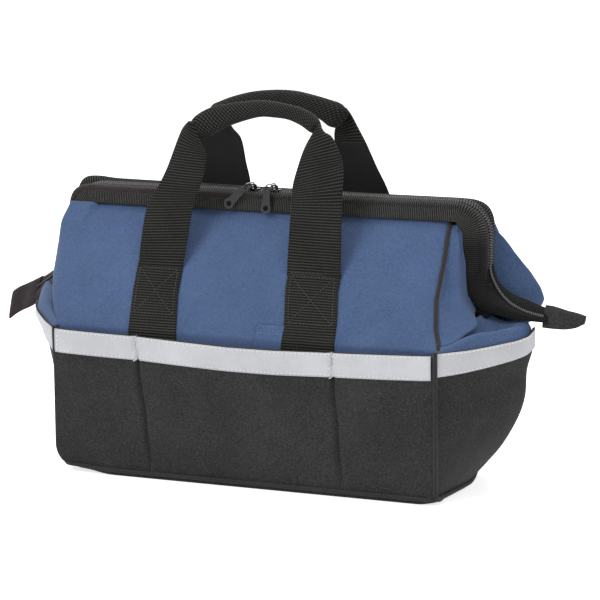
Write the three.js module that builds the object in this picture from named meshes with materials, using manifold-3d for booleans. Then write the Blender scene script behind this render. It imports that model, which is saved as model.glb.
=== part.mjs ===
// Gate-mouth tool bag: soft panels on a stiff base, a hinged steel mouth frame,
// a two-slider zip and two webbing handles. Millimetres, +Z up, front towards -Y.
import * as THREE from 'three';
import { mergeVertices } from 'three/addons/utils/BufferGeometryUtils.js';
import Module from 'manifold-3d';

const wasm = await Module();
wasm.setup();

// Driving dimensions of the body
const BODY_LENGTH = 406;
const BODY_DEPTH = 180;
const BASE_DEPTH = 172;
const LOWER_HEIGHT = 146;
const NOSE_LENGTH = 67;
const NOSE_RISE = 10;
const NOSE_START = 6.5;
const NOSE_FULLNESS = 1.8;
const NOSE_SLACK = 1.55;
const POCKET_GAP = 7.5;
const POCKET_CLOTH = 1.5;
const POCKET_SEAMS = [{ topX: -113, footX: -95 }, { topX: 97, footX: 109 }];
const POCKET_SEAM_WIDTH = 3;
const WALL = 2;
const GAP = 0.35;
const PIPING_RADIUS = 3.2;
const WELT_RADIUS = 2.7;
const BASE_CLOTH = 2;
const BOARD_THICKNESS = 3.6;
const STRIPE_WIDTH = 25;
const STRIPE_THICKNESS = 1;

// Driving dimensions of the mouth
const PANEL_TOP_Z = 262.7;
const PANEL_TOP_LENGTH = 368;
const PANEL_FLARE = 18;
const PANEL_CROWN = 3;
const UPPER_PIPING_RADIUS = 2.4;
const HINGE_Z = 182;
const ROD_RADIUS = 2.8;
const ROD_TOP_Z = 277.5;
const ROD_HALF_LENGTH = 222;
const ROD_CORNER = 34;
const ROD_OFFSET = 9;
const CORNER_STEPS = 6;
const SLEEVE_THICKNESS = 7;
const SLEEVE_ABOVE_ROD = 6.5;
const SLEEVE_BELOW_ROD = 15.5;
const SLEEVE_END_Z = 193.5;
const LUG_THICKNESS = 2;
const LUG_RADIUS = 4.5;
const RIVET_RADIUS = 2;
const RIVET_HEAD_RADIUS = 4;
const RIVET_HEAD = 1.3;

// Driving dimensions of the zip
const COIL_HEIGHT = 2.6;
const COIL_INNER = 0.7;
const COIL_OUTER = 3.1;
const COIL_OFFSET = 3;
const TAPE_THICKNESS = 0.8;
const SLIDER_LENGTH = 15;
const SLIDER_WIDTH = 9.6;
const SLIDER_PLATE = 1.5;
const SLIDER_WEB = 0.8;
const LEFT_SLIDER_X = -25;
const RIGHT_SLIDER_X = -2;
const LINK_LENGTH = 17;
const LINK_RADIUS = 2.2;
const LINK_WIRE = 0.7;
const BAR_HALF = 0.75;
const BAIL_HALF = 4.2;
const HEAD_HALF = 3.8;
const HEAD_HEIGHT = 4.6;
const LEFT_TAB_LENGTH = 31;
const RIGHT_TAB_LENGTH = 26.3;
const TAB_WIDTH = 11;
const TAB_THICKNESS = 1.5;
const LEFT_TAB_SLANT = -0.8;
const RIGHT_TAB_SLANT = -0.06;
const TAIL_WIDTH = 24;
const TAIL_THICKNESS = 3;
const TAIL_END = 317;
const TAIL_TAB_LENGTH = 42;

// Driving dimensions of the handles
const WEBBING_WIDTH = 50;
const WEBBING_THICKNESS = 2.5;
const STRAP_SPACING = 169;
const STRAP_SHIFT = -11.5;
const STITCH_HEIGHT = 67;
const HANDLE_RISE = 163;
const GRIP_LENGTH = 130;
const GRIP_HEIGHT = 21;
const GRIP_THICKNESS = 12;
const GRIP_Y = 27;
const SIDE_TAB_WIDTH = 30;
const SIDE_TAB_HEIGHT = 20;
const SIDE_TAB_X = 29;
const GUSSET_CLOTH = 1.2;
const RIGHT_FOLDS = { front: 7, rear: 39 };
const LEFT_FOLDS = { front: 12, rear: 30 };

// Places worked out from the driving dimensions
const HALF_LENGTH = BODY_LENGTH / 2;
const WALL_INSET = POCKET_CLOTH + POCKET_GAP;
const CREASE_Y = BODY_DEPTH / 2 - WALL_INSET;
const CREASE_Z = LOWER_HEIGHT + 1;
const SLEEVE_FACE = ROD_OFFSET + SLEEVE_THICKNESS / 2;
const FLOOR_TOP = BASE_CLOTH + GAP;

const group = new THREE.Group();
const vec = (x, y, z) => new THREE.Vector3(x, y, z);

// Finishes
const FINISH = {
  blueCloth: { color: 0x4a6389, roughness: 0.85, metalness: 0 },
  blackCloth: { color: 0x35353a, roughness: 0.9, metalness: 0 },
  webbing: { color: 0x2b2b26, roughness: 0.8, metalness: 0 },
  reflective: { color: 0xd0d2d8, roughness: 0.4, metalness: 0.1 },
  piping: { color: 0x3f3533, roughness: 0.7, metalness: 0 },
  board: { color: 0x222222, roughness: 0.7, metalness: 0 },
  steel: { color: 0x9a9a9a, roughness: 0.35, metalness: 1 },
  slider: { color: 0x2a2a2c, roughness: 0.4, metalness: 0.6 },
};

function addPart(name, geometry, finish, turned = false) {
  const mesh = new THREE.Mesh(geometry, new THREE.MeshStandardMaterial(FINISH[finish]));
  mesh.name = name;
  mesh.rotation.z = turned ? Math.PI : 0;
  group.add(mesh);
}

// Mesh helpers
function fromFaces(points, faces) {
  const geometry = new THREE.BufferGeometry();
  geometry.setAttribute('position', new THREE.Float32BufferAttribute(points.flatMap((p) => [p.x, p.y, p.z]), 3));
  geometry.setIndex(faces.flat());
  return geometry;
}

function quad(a, b, c, d) {
  return [[a, b, c], [a, c, d]];
}

function normalAt(surface, u, v) {
  const step = 0.01;
  const along = surface(Math.min(u + step, 1), v).sub(surface(Math.max(u - step, 0), v));
  const up = surface(u, Math.min(v + step, 1)).sub(surface(u, Math.max(v - step, 0)));
  return along.cross(up).normalize();
}

// A sheet of cloth: the surface is its outer face, lifted by lift, and it has thickness inwards
function sheet(surface, columns, rows, thickness, lift = 0) {
  const outer = [];
  const inner = [];
  for (let j = 0; j <= rows; j += 1) {
    for (let i = 0; i <= columns; i += 1) {
      const point = surface(i / columns, j / rows);
      const normal = normalAt(surface, i / columns, j / rows);
      outer.push(point.clone().addScaledVector(normal, lift));
      inner.push(point.clone().addScaledVector(normal, lift - thickness));
    }
  }
  const count = outer.length;
  const out = (i, j) => j * (columns + 1) + i;
  const back = (i, j) => count + out(i, j);
  const faces = [];
  for (let j = 0; j < rows; j += 1) {
    for (let i = 0; i < columns; i += 1) {
      faces.push(...quad(out(i, j), out(i + 1, j), out(i + 1, j + 1), out(i, j + 1)));
      faces.push(...quad(back(i, j), back(i, j + 1), back(i + 1, j + 1), back(i + 1, j)));
    }
  }
  for (let i = 0; i < columns; i += 1) {
    faces.push(...quad(out(i, 0), back(i, 0), back(i + 1, 0), out(i + 1, 0)));
    faces.push(...quad(out(i, rows), out(i + 1, rows), back(i + 1, rows), back(i, rows)));
  }
  for (let j = 0; j < rows; j += 1) {
    faces.push(...quad(out(0, j), out(0, j + 1), back(0, j + 1), back(0, j)));
    faces.push(...quad(out(columns, j), back(columns, j), back(columns, j + 1), out(columns, j + 1)));
  }
  return fromFaces([...outer, ...inner], faces);
}

// Carries rings of points along frames; each frame has an origin and axes a and b, with a x b ahead
function sweep(frames, sectionAt, holeAt = null) {
  const points = [];
  const faces = [];
  const loops = [{ at: sectionAt, turn: 1 }];
  if (holeAt) {
    loops.push({ at: holeAt, turn: -1 });
  }
  const starts = [];
  for (const { at, turn } of loops) {
    const start = points.length;
    const count = at(0).length;
    starts.push({ start, count });
    frames.forEach((frame, k) => {
      for (const [p, q] of at(k)) {
        points.push(frame.origin.clone().addScaledVector(frame.a, p).addScaledVector(frame.b, q));
      }
    });
    for (let k = 0; k < frames.length - 1; k += 1) {
      for (let i = 0; i < count; i += 1) {
        const low = start + k * count;
        const next = (i + 1) % count;
        const ring = [low + i, low + next, low + count + next, low + count + i];
        faces.push(...quad(...(turn > 0 ? ring : ring.reverse())));
      }
    }
  }
  const last = frames.length - 1;
  for (const [k, turn] of [[0, -1], [last, 1]]) {
    const contour = sectionAt(k).map(([p, q]) => new THREE.Vector2(p, q));
    const holes = holeAt ? [holeAt(k).map(([p, q]) => new THREE.Vector2(p, q))] : [];
    const index = starts.flatMap(({ start, count }) => [...Array(count).keys()].map((i) => start + k * count + i));
    for (const face of THREE.ShapeUtils.triangulateShape(contour, holes)) {
      const [a, b, c] = face.map((i) => index[i]);
      faces.push(turn > 0 ? [a, b, c] : [a, c, b]);
    }
  }
  return fromFaces(points, faces);
}

// Carries a section round a flat closed loop of centres, which runs anticlockwise seen from above
function loopSweep(centres, section) {
  const points = [];
  const faces = [];
  const count = centres.length;
  centres.forEach((centre, k) => {
    const ahead = centres[(k + 1) % count].clone().sub(centres[(k + count - 1) % count]).normalize();
    for (const [p, q] of section) {
      points.push(centre.clone().add(vec(ahead.y * p, -ahead.x * p, -q)));
    }
    section.forEach((_, i) => {
      const low = k * section.length;
      const high = ((k + 1) % count) * section.length;
      const next = (i + 1) % section.length;
      faces.push(...quad(low + i, low + next, high + next, high + i));
    });
  });
  return fromFaces(points, faces);
}

// A rounded rectangle across a sweep, size p by q, the same number of points whatever its size
function roundedSection(p, q, corner, centreP = 0, centreQ = 0, arc = 2) {
  const radius = Math.min(corner, p / 2 - 0.05, q / 2 - 0.05);
  const points = [];
  for (let quarter = 0; quarter < 4; quarter += 1) {
    const sp = quarter === 0 || quarter === 3 ? 1 : -1;
    const sq = quarter < 2 ? 1 : -1;
    for (let i = 0; i <= arc; i += 1) {
      const angle = (quarter + i / arc) * (Math.PI / 2);
      points.push([
        centreP + sp * (p / 2 - radius) + radius * Math.cos(angle),
        centreQ + sq * (q / 2 - radius) + radius * Math.sin(angle),
      ]);
    }
  }
  return points;
}

function circleSection(radius, sides) {
  return [...Array(sides).keys()].map((i) => {
    const angle = (i / sides) * Math.PI * 2;
    return [radius * Math.cos(angle), radius * Math.sin(angle)];
  });
}

function circleShape(radius, sides) {
  return new THREE.Shape(circleSection(radius, sides).map(([x, y]) => new THREE.Vector2(x, y)));
}

// A round cord along a list of points
function tube(points, radius, sides, steps, tension = 0.5) {
  const path = new THREE.CatmullRomCurve3(points, false, 'catmullrom', tension);
  return new THREE.ExtrudeGeometry(circleShape(radius, sides), { steps, extrudePath: path });
}

function extrude(shape, depth) {
  return new THREE.ExtrudeGeometry(shape, { depth, bevelEnabled: false, curveSegments: 5 });
}

function roundedRectangle(halfX, halfY, radius) {
  const shape = new THREE.Shape();
  shape.moveTo(-halfX + radius, -halfY);
  shape.lineTo(halfX - radius, -halfY);
  shape.absarc(halfX - radius, -halfY + radius, radius, -Math.PI / 2, 0);
  shape.lineTo(halfX, halfY - radius);
  shape.absarc(halfX - radius, halfY - radius, radius, 0, Math.PI / 2);
  shape.lineTo(-halfX + radius, halfY);
  shape.absarc(-halfX + radius, halfY - radius, radius, Math.PI / 2, Math.PI);
  shape.lineTo(-halfX, -halfY + radius);
  shape.absarc(-halfX + radius, -halfY + radius, radius, Math.PI, Math.PI * 1.5);
  return shape;
}

// Boolean helpers
function toSolid(geometry) {
  const bare = geometry.clone();
  bare.deleteAttribute('normal');
  bare.deleteAttribute('uv');
  const merged = mergeVertices(bare, 1e-4);
  return new wasm.Manifold(new wasm.Mesh({
    numProp: 3,
    vertProperties: new Float32Array(merged.attributes.position.array),
    triVerts: new Uint32Array(merged.index.array),
  }));
}

function toGeometry(solid) {
  const mesh = solid.getMesh();
  const geometry = new THREE.BufferGeometry();
  geometry.setAttribute('position', new THREE.Float32BufferAttribute(mesh.vertProperties, 3));
  geometry.setIndex(new THREE.BufferAttribute(mesh.triVerts, 1));
  return geometry;
}

function join(...geometries) {
  return toGeometry(geometries.map(toSolid).reduce((whole, piece) => whole.add(piece)));
}

// Lower body: the outer faces at height z
const halfDepth = (z) => (BASE_DEPTH + (BODY_DEPTH - BASE_DEPTH) * (z / LOWER_HEIGHT)) / 2;
const noseShare = (z) => THREE.MathUtils.clamp((z - NOSE_START) / (LOWER_HEIGHT - NOSE_START), 0, 1);
// The right end is filled out, the left one hangs slack under its rim
const noseCurve = (side, share) => (side > 0 ? 1 - (1 - share) ** NOSE_FULLNESS : share ** NOSE_SLACK);
const noseAt = (side, z) => NOSE_LENGTH * noseCurve(side, noseShare(z));
const endX = (side, y, z) => HALF_LENGTH + noseAt(side, z) * (1 - (Math.abs(y) / halfDepth(z)) ** 1.35);
const riseAt = (y) => NOSE_RISE * (1 - (Math.abs(y) / (BODY_DEPTH / 2)) ** 1.2);
const cornerX = HALF_LENGTH - PIPING_RADIUS + 1.8;
const cornerY = (z) => halfDepth(z) - PIPING_RADIUS + 1.6;
const layerHalf = cornerX - PIPING_RADIUS - GAP;
const endHalf = (z) => halfDepth(z) - 5.2;

function frontFace(inset, half, lowZ, highZ) {
  return (u, v) => {
    const z = lowZ + (highZ - lowZ) * v;
    return vec(half * (2 * u - 1), -(halfDepth(z) - inset), z);
  };
}

function endFace(side, lowZ, highZ) {
  return (u, v) => {
    const along = 2 * u - 1;
    const level = lowZ + (highZ - lowZ) * v;
    const y = along * endHalf(level);
    const share = Math.max((level - LOWER_HEIGHT / 2) / (LOWER_HEIGHT / 2), 0);
    const z = level + riseAt(y) * share;
    return vec(side * endX(side, y, level), side * y, z);
  };
}

function buildBase() {
  const halfX = HALF_LENGTH + 2;
  const halfY = BASE_DEPTH / 2;
  addPart('base_panel', extrude(roundedRectangle(halfX, halfY, 8), BASE_CLOTH), 'blackCloth');
  const boardY = BASE_DEPTH / 2 - WALL_INSET - WALL - 1;
  const board = extrude(roundedRectangle(HALF_LENGTH - 4, boardY, 6), BOARD_THICKNESS);
  board.translate(0, 0, FLOOR_TOP);
  addPart('base_board', board, 'board');
  const offset = GAP + WELT_RADIUS;
  const ring = roundedRectangle(halfX + offset, halfY + offset, 11).getPoints(5);
  const centres = ring.slice(0, -1).map((point) => vec(point.x, point.y, WELT_RADIUS + GAP));
  addPart('base_welt', loopSweep(centres, circleSection(WELT_RADIUS, 8)), 'piping');
}

function pocketDivider(topX, footX) {
  const thickness = POCKET_GAP - 2 * GAP;
  const inset = POCKET_CLOTH + GAP;
  const surface = (u, v) => {
    const z = FLOOR_TOP + (LOWER_HEIGHT - FLOOR_TOP - 1) * v;
    const x = footX + (topX - footX) * v + POCKET_SEAM_WIDTH * (u - 0.5);
    return vec(x, -(halfDepth(z) - inset), z);
  };
  return sheet(surface, 1, 1, thickness);
}

function buildLowerBody() {
  for (const [place, turned] of [['front', false], ['rear', true]]) {
    const wall = sheet(frontFace(WALL_INSET, layerHalf + 1, FLOOR_TOP, LOWER_HEIGHT), 4, 2, WALL);
    addPart(`${place}_lower_wall`, wall, 'blackCloth', turned);
    const layer = sheet(frontFace(0, layerHalf, FLOOR_TOP, LOWER_HEIGHT), 4, 2, POCKET_CLOTH);
    addPart(`${place}_pocket_layer`, layer, 'blackCloth', turned);
    for (const [number, { topX, footX }] of POCKET_SEAMS.entries()) {
      addPart(`${place}_pocket_divider_${number + 1}`, pocketDivider(topX, footX), 'blackCloth', turned);
    }
    const band = frontFace(0, layerHalf, LOWER_HEIGHT - STRIPE_WIDTH, LOWER_HEIGHT);
    const stripe = sheet(band, 4, 1, STRIPE_THICKNESS, STRIPE_THICKNESS + GAP);
    addPart(`${place}_stripe`, stripe, 'reflective', turned);
  }
  for (const [place, side] of [['right', 1], ['left', -1]]) {
    const panel = sheet(endFace(side, FLOOR_TOP, LOWER_HEIGHT), 16, 8, WALL);
    addPart(`${place}_end_panel`, panel, 'blackCloth');
    const band = endFace(side, LOWER_HEIGHT - STRIPE_WIDTH, LOWER_HEIGHT);
    const stripe = sheet(band, 16, 2, STRIPE_THICKNESS, STRIPE_THICKNESS + GAP);
    addPart(`${place}_stripe`, stripe, 'reflective');
    for (const [edge, front] of [['front', -1], ['rear', 1]]) {
      const low = 2 * WELT_RADIUS + 3 * GAP;
      const path = [low, LOWER_HEIGHT / 2, LOWER_HEIGHT].map((z) => vec(side * cornerX, front * cornerY(z), z));
      addPart(`${edge}_${place}_corner_piping`, tube(path, PIPING_RADIUS, 8, 4), 'piping');
    }
  }
}

// Upper front panel: t runs from the crease to the mouth, x across
const panelRun = PANEL_TOP_Z - CREASE_Z;
const panelLean = Math.atan2(CREASE_Y - SLEEVE_FACE, panelRun);
const panelLength = Math.hypot(CREASE_Y - SLEEVE_FACE, panelRun);
const panelHalf = (t) => PANEL_TOP_LENGTH / 2 + PANEL_FLARE * (1 - t) ** 2.5;
const panelUp = vec(0, Math.sin(panelLean), Math.cos(panelLean));
const panelOut = vec(0, -Math.cos(panelLean), Math.sin(panelLean));

function onPanel(x, t) {
  const across = Math.min(Math.abs(x) / panelHalf(t), 1);
  const crown = PANEL_CROWN * (1 - across ** 2) * Math.sin(Math.PI * t);
  return vec(x, -CREASE_Y, CREASE_Z).addScaledVector(panelUp, t * panelLength).addScaledVector(panelOut, crown);
}

function patch(lowX, highX, lowT, highT) {
  return (u, v) => onPanel(lowX + (highX - lowX) * u, lowT + (highT - lowT) * v);
}

function buildUpperPanels() {
  const startT = 1 / panelLength;
  const stitchT = STITCH_HEIGHT / panelLength;
  for (const [place, turned] of [['front', false], ['rear', true]]) {
    const face = (u, v) => {
      const t = startT + (1 - startT) * v;
      return onPanel(panelHalf(t) * (2 * u - 1), t);
    };
    addPart(`${place}_upper_panel`, sheet(face, 12, 8, WALL), 'blueCloth', turned);
    for (const side of [-1, 1]) {
      const end = (side > 0) === turned ? 'left' : 'right';
      const edge = [0.04, 0.2, 0.4, 0.7, 0.99].map((t) => {
        const point = onPanel(side * (panelHalf(t) + UPPER_PIPING_RADIUS + GAP), t);
        return point.addScaledVector(panelOut, -WALL / 2);
      });
      addPart(`${place}_${end}_upper_piping`, tube(edge, UPPER_PIPING_RADIUS, 6, 8), 'piping', turned);
      const x = STRAP_SHIFT + (side * STRAP_SPACING) / 2;
      const area = patch(x - WEBBING_WIDTH / 2, x + WEBBING_WIDTH / 2, 3 * startT, stitchT);
      const strap = sheet(area, 3, 4, WEBBING_THICKNESS, WEBBING_THICKNESS + GAP);
      addPart(`${place}_${end}_strap_end`, strap, 'webbing', turned);
    }
  }
  const left = SIDE_TAB_X - SIDE_TAB_WIDTH / 2;
  const high = 3 * startT + SIDE_TAB_HEIGHT / panelLength;
  const tab = sheet(patch(left, left + SIDE_TAB_WIDTH, 3 * startT, high), 3, 2, 1, 1 + GAP);
  addPart('front_side_tab', tab, 'blueCloth');
}

// Handles: one length of webbing, flat at its ends and folded lengthwise into the grip
function handlePath(side) {
  const base = (STRAP_SPACING / 2) * side;
  const gripEnd = (GRIP_LENGTH / 2) * side;
  return [
    [base, 0.0, WEBBING_WIDTH, 0],
    [base, 0.06, WEBBING_WIDTH, 0],
    [base + 4 * side, 0.22, WEBBING_WIDTH, 0],
    [base + 3 * side, 0.38, WEBBING_WIDTH, 0],
    [base - 5 * side, 0.54, WEBBING_WIDTH * 0.9, 0.1],
    [gripEnd + 8 * side, 0.69, WEBBING_WIDTH * 0.72, 0.3],
    [gripEnd - 2 * side, 0.82, WEBBING_WIDTH * 0.56, 0.6],
    [gripEnd * 0.84, 0.905, GRIP_HEIGHT * 1.1, 0.9],
    [gripEnd * 0.5, 0.97, GRIP_HEIGHT, 1],
  ];
}

function buildHandle(place, turned) {
  const left = handlePath(-1);
  const right = handlePath(1).reverse();
  const knots = [...left, [0, 1, GRIP_HEIGHT, 1], ...right];
  const stitch = onPanel(0, STITCH_HEIGHT / panelLength);
  stitch.addScaledVector(panelOut, GAP + WEBBING_THICKNESS / 2);
  const startZ = stitch.z + 1;
  const yAt = (h) => stitch.y + (-GRIP_Y - stitch.y) * h - 5 * Math.sin(Math.PI * h);
  const spine = new THREE.CatmullRomCurve3(
    knots.map(([x, h]) => vec(STRAP_SHIFT + x, yAt(h), startZ + h * HANDLE_RISE)),
    false,
    'centripetal',
  );
  const shape = new THREE.CatmullRomCurve3(knots.map((knot) => vec(knot[2], knot[3], 0)), false, 'centripetal');
  const steps = 40;
  const frames = [];
  const sections = [];
  for (let k = 0; k <= steps; k += 1) {
    const t = k / steps;
    const ahead = spine.getTangent(t);
    const across = vec(ahead.z, 0, -ahead.x).normalize();
    frames.push({ origin: spine.getPoint(t), a: across, b: ahead.clone().cross(across).normalize() });
    const { x: width, y: fold } = shape.getPoint(t);
    const folded = Math.min(Math.max(fold, 0), 1);
    const thickness = WEBBING_THICKNESS + (GRIP_THICKNESS - WEBBING_THICKNESS) * folded;
    sections.push(roundedSection(width, thickness, thickness / 2));
  }
  addPart(`${place}_handle`, sweep(frames, (k) => sections[k]), 'webbing', turned);
}

// Mouth frame: a U of rod, from the left hinge over the top to the right hinge.
// The frame axis a points out of the U and b points to the front.
function mouthFrames(startZ, cornerSteps) {
  const frames = [];
  const y = -ROD_OFFSET;
  const add = (x, z, angle) => {
    frames.push({ origin: vec(x, y, z), a: vec(Math.cos(angle), 0, Math.sin(angle)), b: vec(0, -1, 0) });
  };
  add(-ROD_HALF_LENGTH, startZ, Math.PI);
  for (let i = 0; i <= cornerSteps; i += 1) {
    const angle = Math.PI - (i / cornerSteps) * (Math.PI / 2);
    const x = -ROD_HALF_LENGTH + ROD_CORNER + ROD_CORNER * Math.cos(angle);
    add(x, ROD_TOP_Z - ROD_CORNER + ROD_CORNER * Math.sin(angle), angle);
  }
  for (let i = 0; i <= cornerSteps; i += 1) {
    const angle = (1 - i / cornerSteps) * (Math.PI / 2);
    const x = ROD_HALF_LENGTH - ROD_CORNER + ROD_CORNER * Math.cos(angle);
    add(x, ROD_TOP_Z - ROD_CORNER + ROD_CORNER * Math.sin(angle), angle);
  }
  add(ROD_HALF_LENGTH, startZ, 0);
  return frames;
}

// A flat eye that turns the end of the rod in to the hinge axis
function hingeLug(x) {
  const shape = new THREE.Shape();
  const dy = ROD_OFFSET;
  const dz = 6;
  const lean = Math.atan2(dz, -dy);
  shape.absarc(-dy, HINGE_Z + dz, LUG_RADIUS, lean - Math.PI / 2, lean + Math.PI / 2);
  shape.absarc(0, HINGE_Z, LUG_RADIUS, lean + Math.PI / 2, lean + Math.PI * 1.5);
  const eye = new THREE.Path();
  eye.absarc(0, HINGE_Z, RIVET_RADIUS + GAP, 0, Math.PI * 2, true);
  shape.holes.push(eye);
  const plate = extrude(shape, LUG_THICKNESS);
  plate.rotateX(Math.PI / 2).rotateZ(Math.PI / 2);
  plate.translate(x, 0, 0);
  return plate;
}

function buildMouth(place, turned) {
  const lugInner = place === 'front' ? -LUG_THICKNESS - GAP / 2 : GAP / 2;
  const rodCircle = circleSection(ROD_RADIUS, 8);
  const rod = sweep(mouthFrames(HINGE_Z + 3, CORNER_STEPS), () => rodCircle);
  const right = ROD_HALF_LENGTH + lugInner;
  const frame = join(rod, hingeLug(right), hingeLug(-right - LUG_THICKNESS));
  addPart(`${place}_frame_rod`, frame, 'steel', turned);

  const middle = (SLEEVE_ABOVE_ROD - SLEEVE_BELOW_ROD) / 2;
  const height = SLEEVE_ABOVE_ROD + SLEEVE_BELOW_ROD;
  const sleeveSection = roundedSection(height, SLEEVE_THICKNESS, 2.2, middle, 0);
  const boreSection = circleSection(ROD_RADIUS + GAP, 8);
  const path = mouthFrames(SLEEVE_END_Z, CORNER_STEPS);
  addPart(`${place}_binding`, sweep(path, () => sleeveSection, () => boreSection), 'webbing', turned);

  const tapeOuter = ROD_OFFSET - SLEEVE_THICKNESS / 2 - GAP;
  const tapeInner = COIL_OUTER + GAP;
  const tapeMiddle = (tapeOuter + tapeInner) / 2 - ROD_OFFSET;
  const tape = roundedSection(TAPE_THICKNESS, tapeOuter - tapeInner, 0.1, COIL_OFFSET, tapeMiddle, 1);
  addPart(`${place}_zip_tape`, sweep(path, () => tape), 'webbing', turned);
  const coilMiddle = (COIL_OUTER + COIL_INNER) / 2 - ROD_OFFSET;
  const coil = roundedSection(COIL_HEIGHT, COIL_OUTER - COIL_INNER, 0.9, COIL_OFFSET, coilMiddle, 1);
  addPart(`${place}_zip_coil`, sweep(path, () => coil), 'slider', turned);
}

function buildHinge(place, side) {
  const half = LUG_THICKNESS + GAP / 2 + GAP;
  const outline = [
    [0, -half - RIVET_HEAD],
    [RIVET_HEAD_RADIUS * 0.7, -half - RIVET_HEAD],
    [RIVET_HEAD_RADIUS, -half - RIVET_HEAD * 0.4],
    [RIVET_HEAD_RADIUS, -half],
    [RIVET_RADIUS, -half],
    [RIVET_RADIUS, half],
    [RIVET_HEAD_RADIUS, half],
    [RIVET_HEAD_RADIUS, half + RIVET_HEAD * 0.4],
    [RIVET_HEAD_RADIUS * 0.7, half + RIVET_HEAD],
    [0, half + RIVET_HEAD],
  ];
  const rivet = new THREE.LatheGeometry(outline.map(([r, y]) => new THREE.Vector2(r, y)), 12);
  rivet.rotateZ(Math.PI / 2);
  rivet.translate(side * ROD_HALF_LENGTH, 0, HINGE_Z);
  addPart(`${place}_hinge_rivet`, rivet, 'steel');
}

// Zip tail: the two tapes run on past the hinge, turn to face the front and end in a cloth tab
function buildTail(place, side, droop) {
  const rootX = ROD_HALF_LENGTH + SLEEVE_ABOVE_ROD + TAIL_THICKNESS / 2 + GAP;
  const reach = TAIL_END - rootX;
  const path = new THREE.CatmullRomCurve3([
    vec(rootX, 0, SLEEVE_END_Z + 3),
    vec(rootX + 1.5, 0.5, SLEEVE_END_Z - 3),
    vec(rootX + 5, 1, HINGE_Z + 1.5),
    vec(rootX + 14, 4, HINGE_Z - 4),
    vec(rootX + 0.34 * reach, 8, HINGE_Z - 7.5),
    vec(rootX + 0.55 * reach, 12, HINGE_Z - 9 - droop * 0.2),
    vec(rootX + 0.8 * reach, 16, HINGE_Z - 10 - droop * 0.65),
    vec(TAIL_END, 18, HINGE_Z - 12 - droop),
  ]);
  const length = path.getLength();
  const splitAt = 1 - TAIL_TAB_LENGTH / length;
  const stretch = (from, to, steps, sectionAt) => {
    const frames = [];
    for (let k = 0; k <= steps; k += 1) {
      const t = from + ((to - from) * k) / steps;
      const point = path.getPointAt(t);
      const ahead = path.getTangentAt(t);
      const level = vec(0, 1, 0).addScaledVector(ahead, -ahead.y).normalize();
      const twist = -Math.PI * 0.32 * THREE.MathUtils.smoothstep(t, 0.1, 0.6);
      const wide = level.applyAxisAngle(ahead, twist);
      frames.push({ origin: point, a: wide, b: ahead.clone().cross(wide).normalize() });
    }
    if (side < 0) {
      for (const frame of frames) {
        frame.origin.x *= -1;
        frame.a.x *= -1;
        frame.b.x *= -1;
        frame.a.negate();
      }
    }
    return sweep(frames, sectionAt);
  };
  const bandSection = roundedSection(TAIL_WIDTH, TAIL_THICKNESS, 1, 0, 0, 1);
  addPart(`${place}_zip_tail`, stretch(0, splitAt - 0.004, 9, () => bandSection), 'webbing');
  const tabSteps = 5;
  const tabSection = (k) => {
    const t = k / tabSteps;
    const width = (TAIL_WIDTH + 2) * (1 - 0.4 * t ** 2);
    return roundedSection(width, TAIL_THICKNESS + 2.5 - 2 * t, 1.2, 0, 0, 1);
  };
  addPart(`${place}_tail_tab`, stretch(splitAt, 1, tabSteps, tabSection), 'blackCloth');
}

// End gussets: the cloth between the upper piping, the stripe and the mouth frame
const gussetRowLow = 0.16;
const legInner = ROD_HALF_LENGTH - SLEEVE_BELOW_ROD - 1.2;
const gussetFace = SLEEVE_FACE + GUSSET_CLOTH + 2 * GAP;
const legPoint = () => vec(legInner, -gussetFace, SLEEVE_END_Z - 3);
const innerCorner = ROD_CORNER - SLEEVE_BELOW_ROD;

// Height of the inner edge of the binding above the cloth at x, round the corner of the mouth
function sleeveCornerZ(x) {
  const past = Math.max(x - (ROD_HALF_LENGTH - ROD_CORNER), 0);
  return ROD_TOP_Z - ROD_CORNER + Math.sqrt(Math.max(innerCorner ** 2 - past ** 2, 0));
}

function pipingSide(t) {
  const point = onPanel(panelHalf(t) + 2 * UPPER_PIPING_RADIUS + 4 * GAP, t);
  return point.addScaledVector(panelOut, -WALL / 2 + 0.8);
}

// The fold between leaf and lip, from the piping to the foot of the mouth frame
function foldLine(u, fold) {
  const point = pipingSide(gussetRowLow).lerp(legPoint(), u);
  const swell = Math.sin(Math.PI * Math.min(u, 1));
  return point.add(vec(fold * swell, -0.12 * fold * swell, -0.15 * fold * swell));
}

function quadrantSheet(surface, side, front, columns, rows, thickness) {
  const place = (u, v) => {
    const point = surface(side * front > 0 ? u : 1 - u, v);
    return vec(side * point.x, front * point.y, point.z);
  };
  return sheet(place, columns, rows, thickness);
}

// The leaf between the piping and one leg of the mouth frame
function gussetLeaf(fold) {
  return (u, v) => {
    const low = foldLine(u, fold);
    low.z += 2 * GUSSET_CLOTH + GAP;
    const topPiping = pipingSide(0.985);
    const topLeg = vec(legInner, -gussetFace, PANEL_TOP_Z);
    const high = topPiping.lerp(topLeg, u);
    high.z = Math.min(high.z, sleeveCornerZ(high.x) - 1.5);
    const belly = 0.45 * fold * Math.sin(Math.PI * u) * Math.sin(Math.PI * v);
    const point = low.lerp(high, v);
    point.y = Math.min(point.y, -gussetFace);
    return point.add(vec(belly, 0, 0));
  };
}

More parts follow.
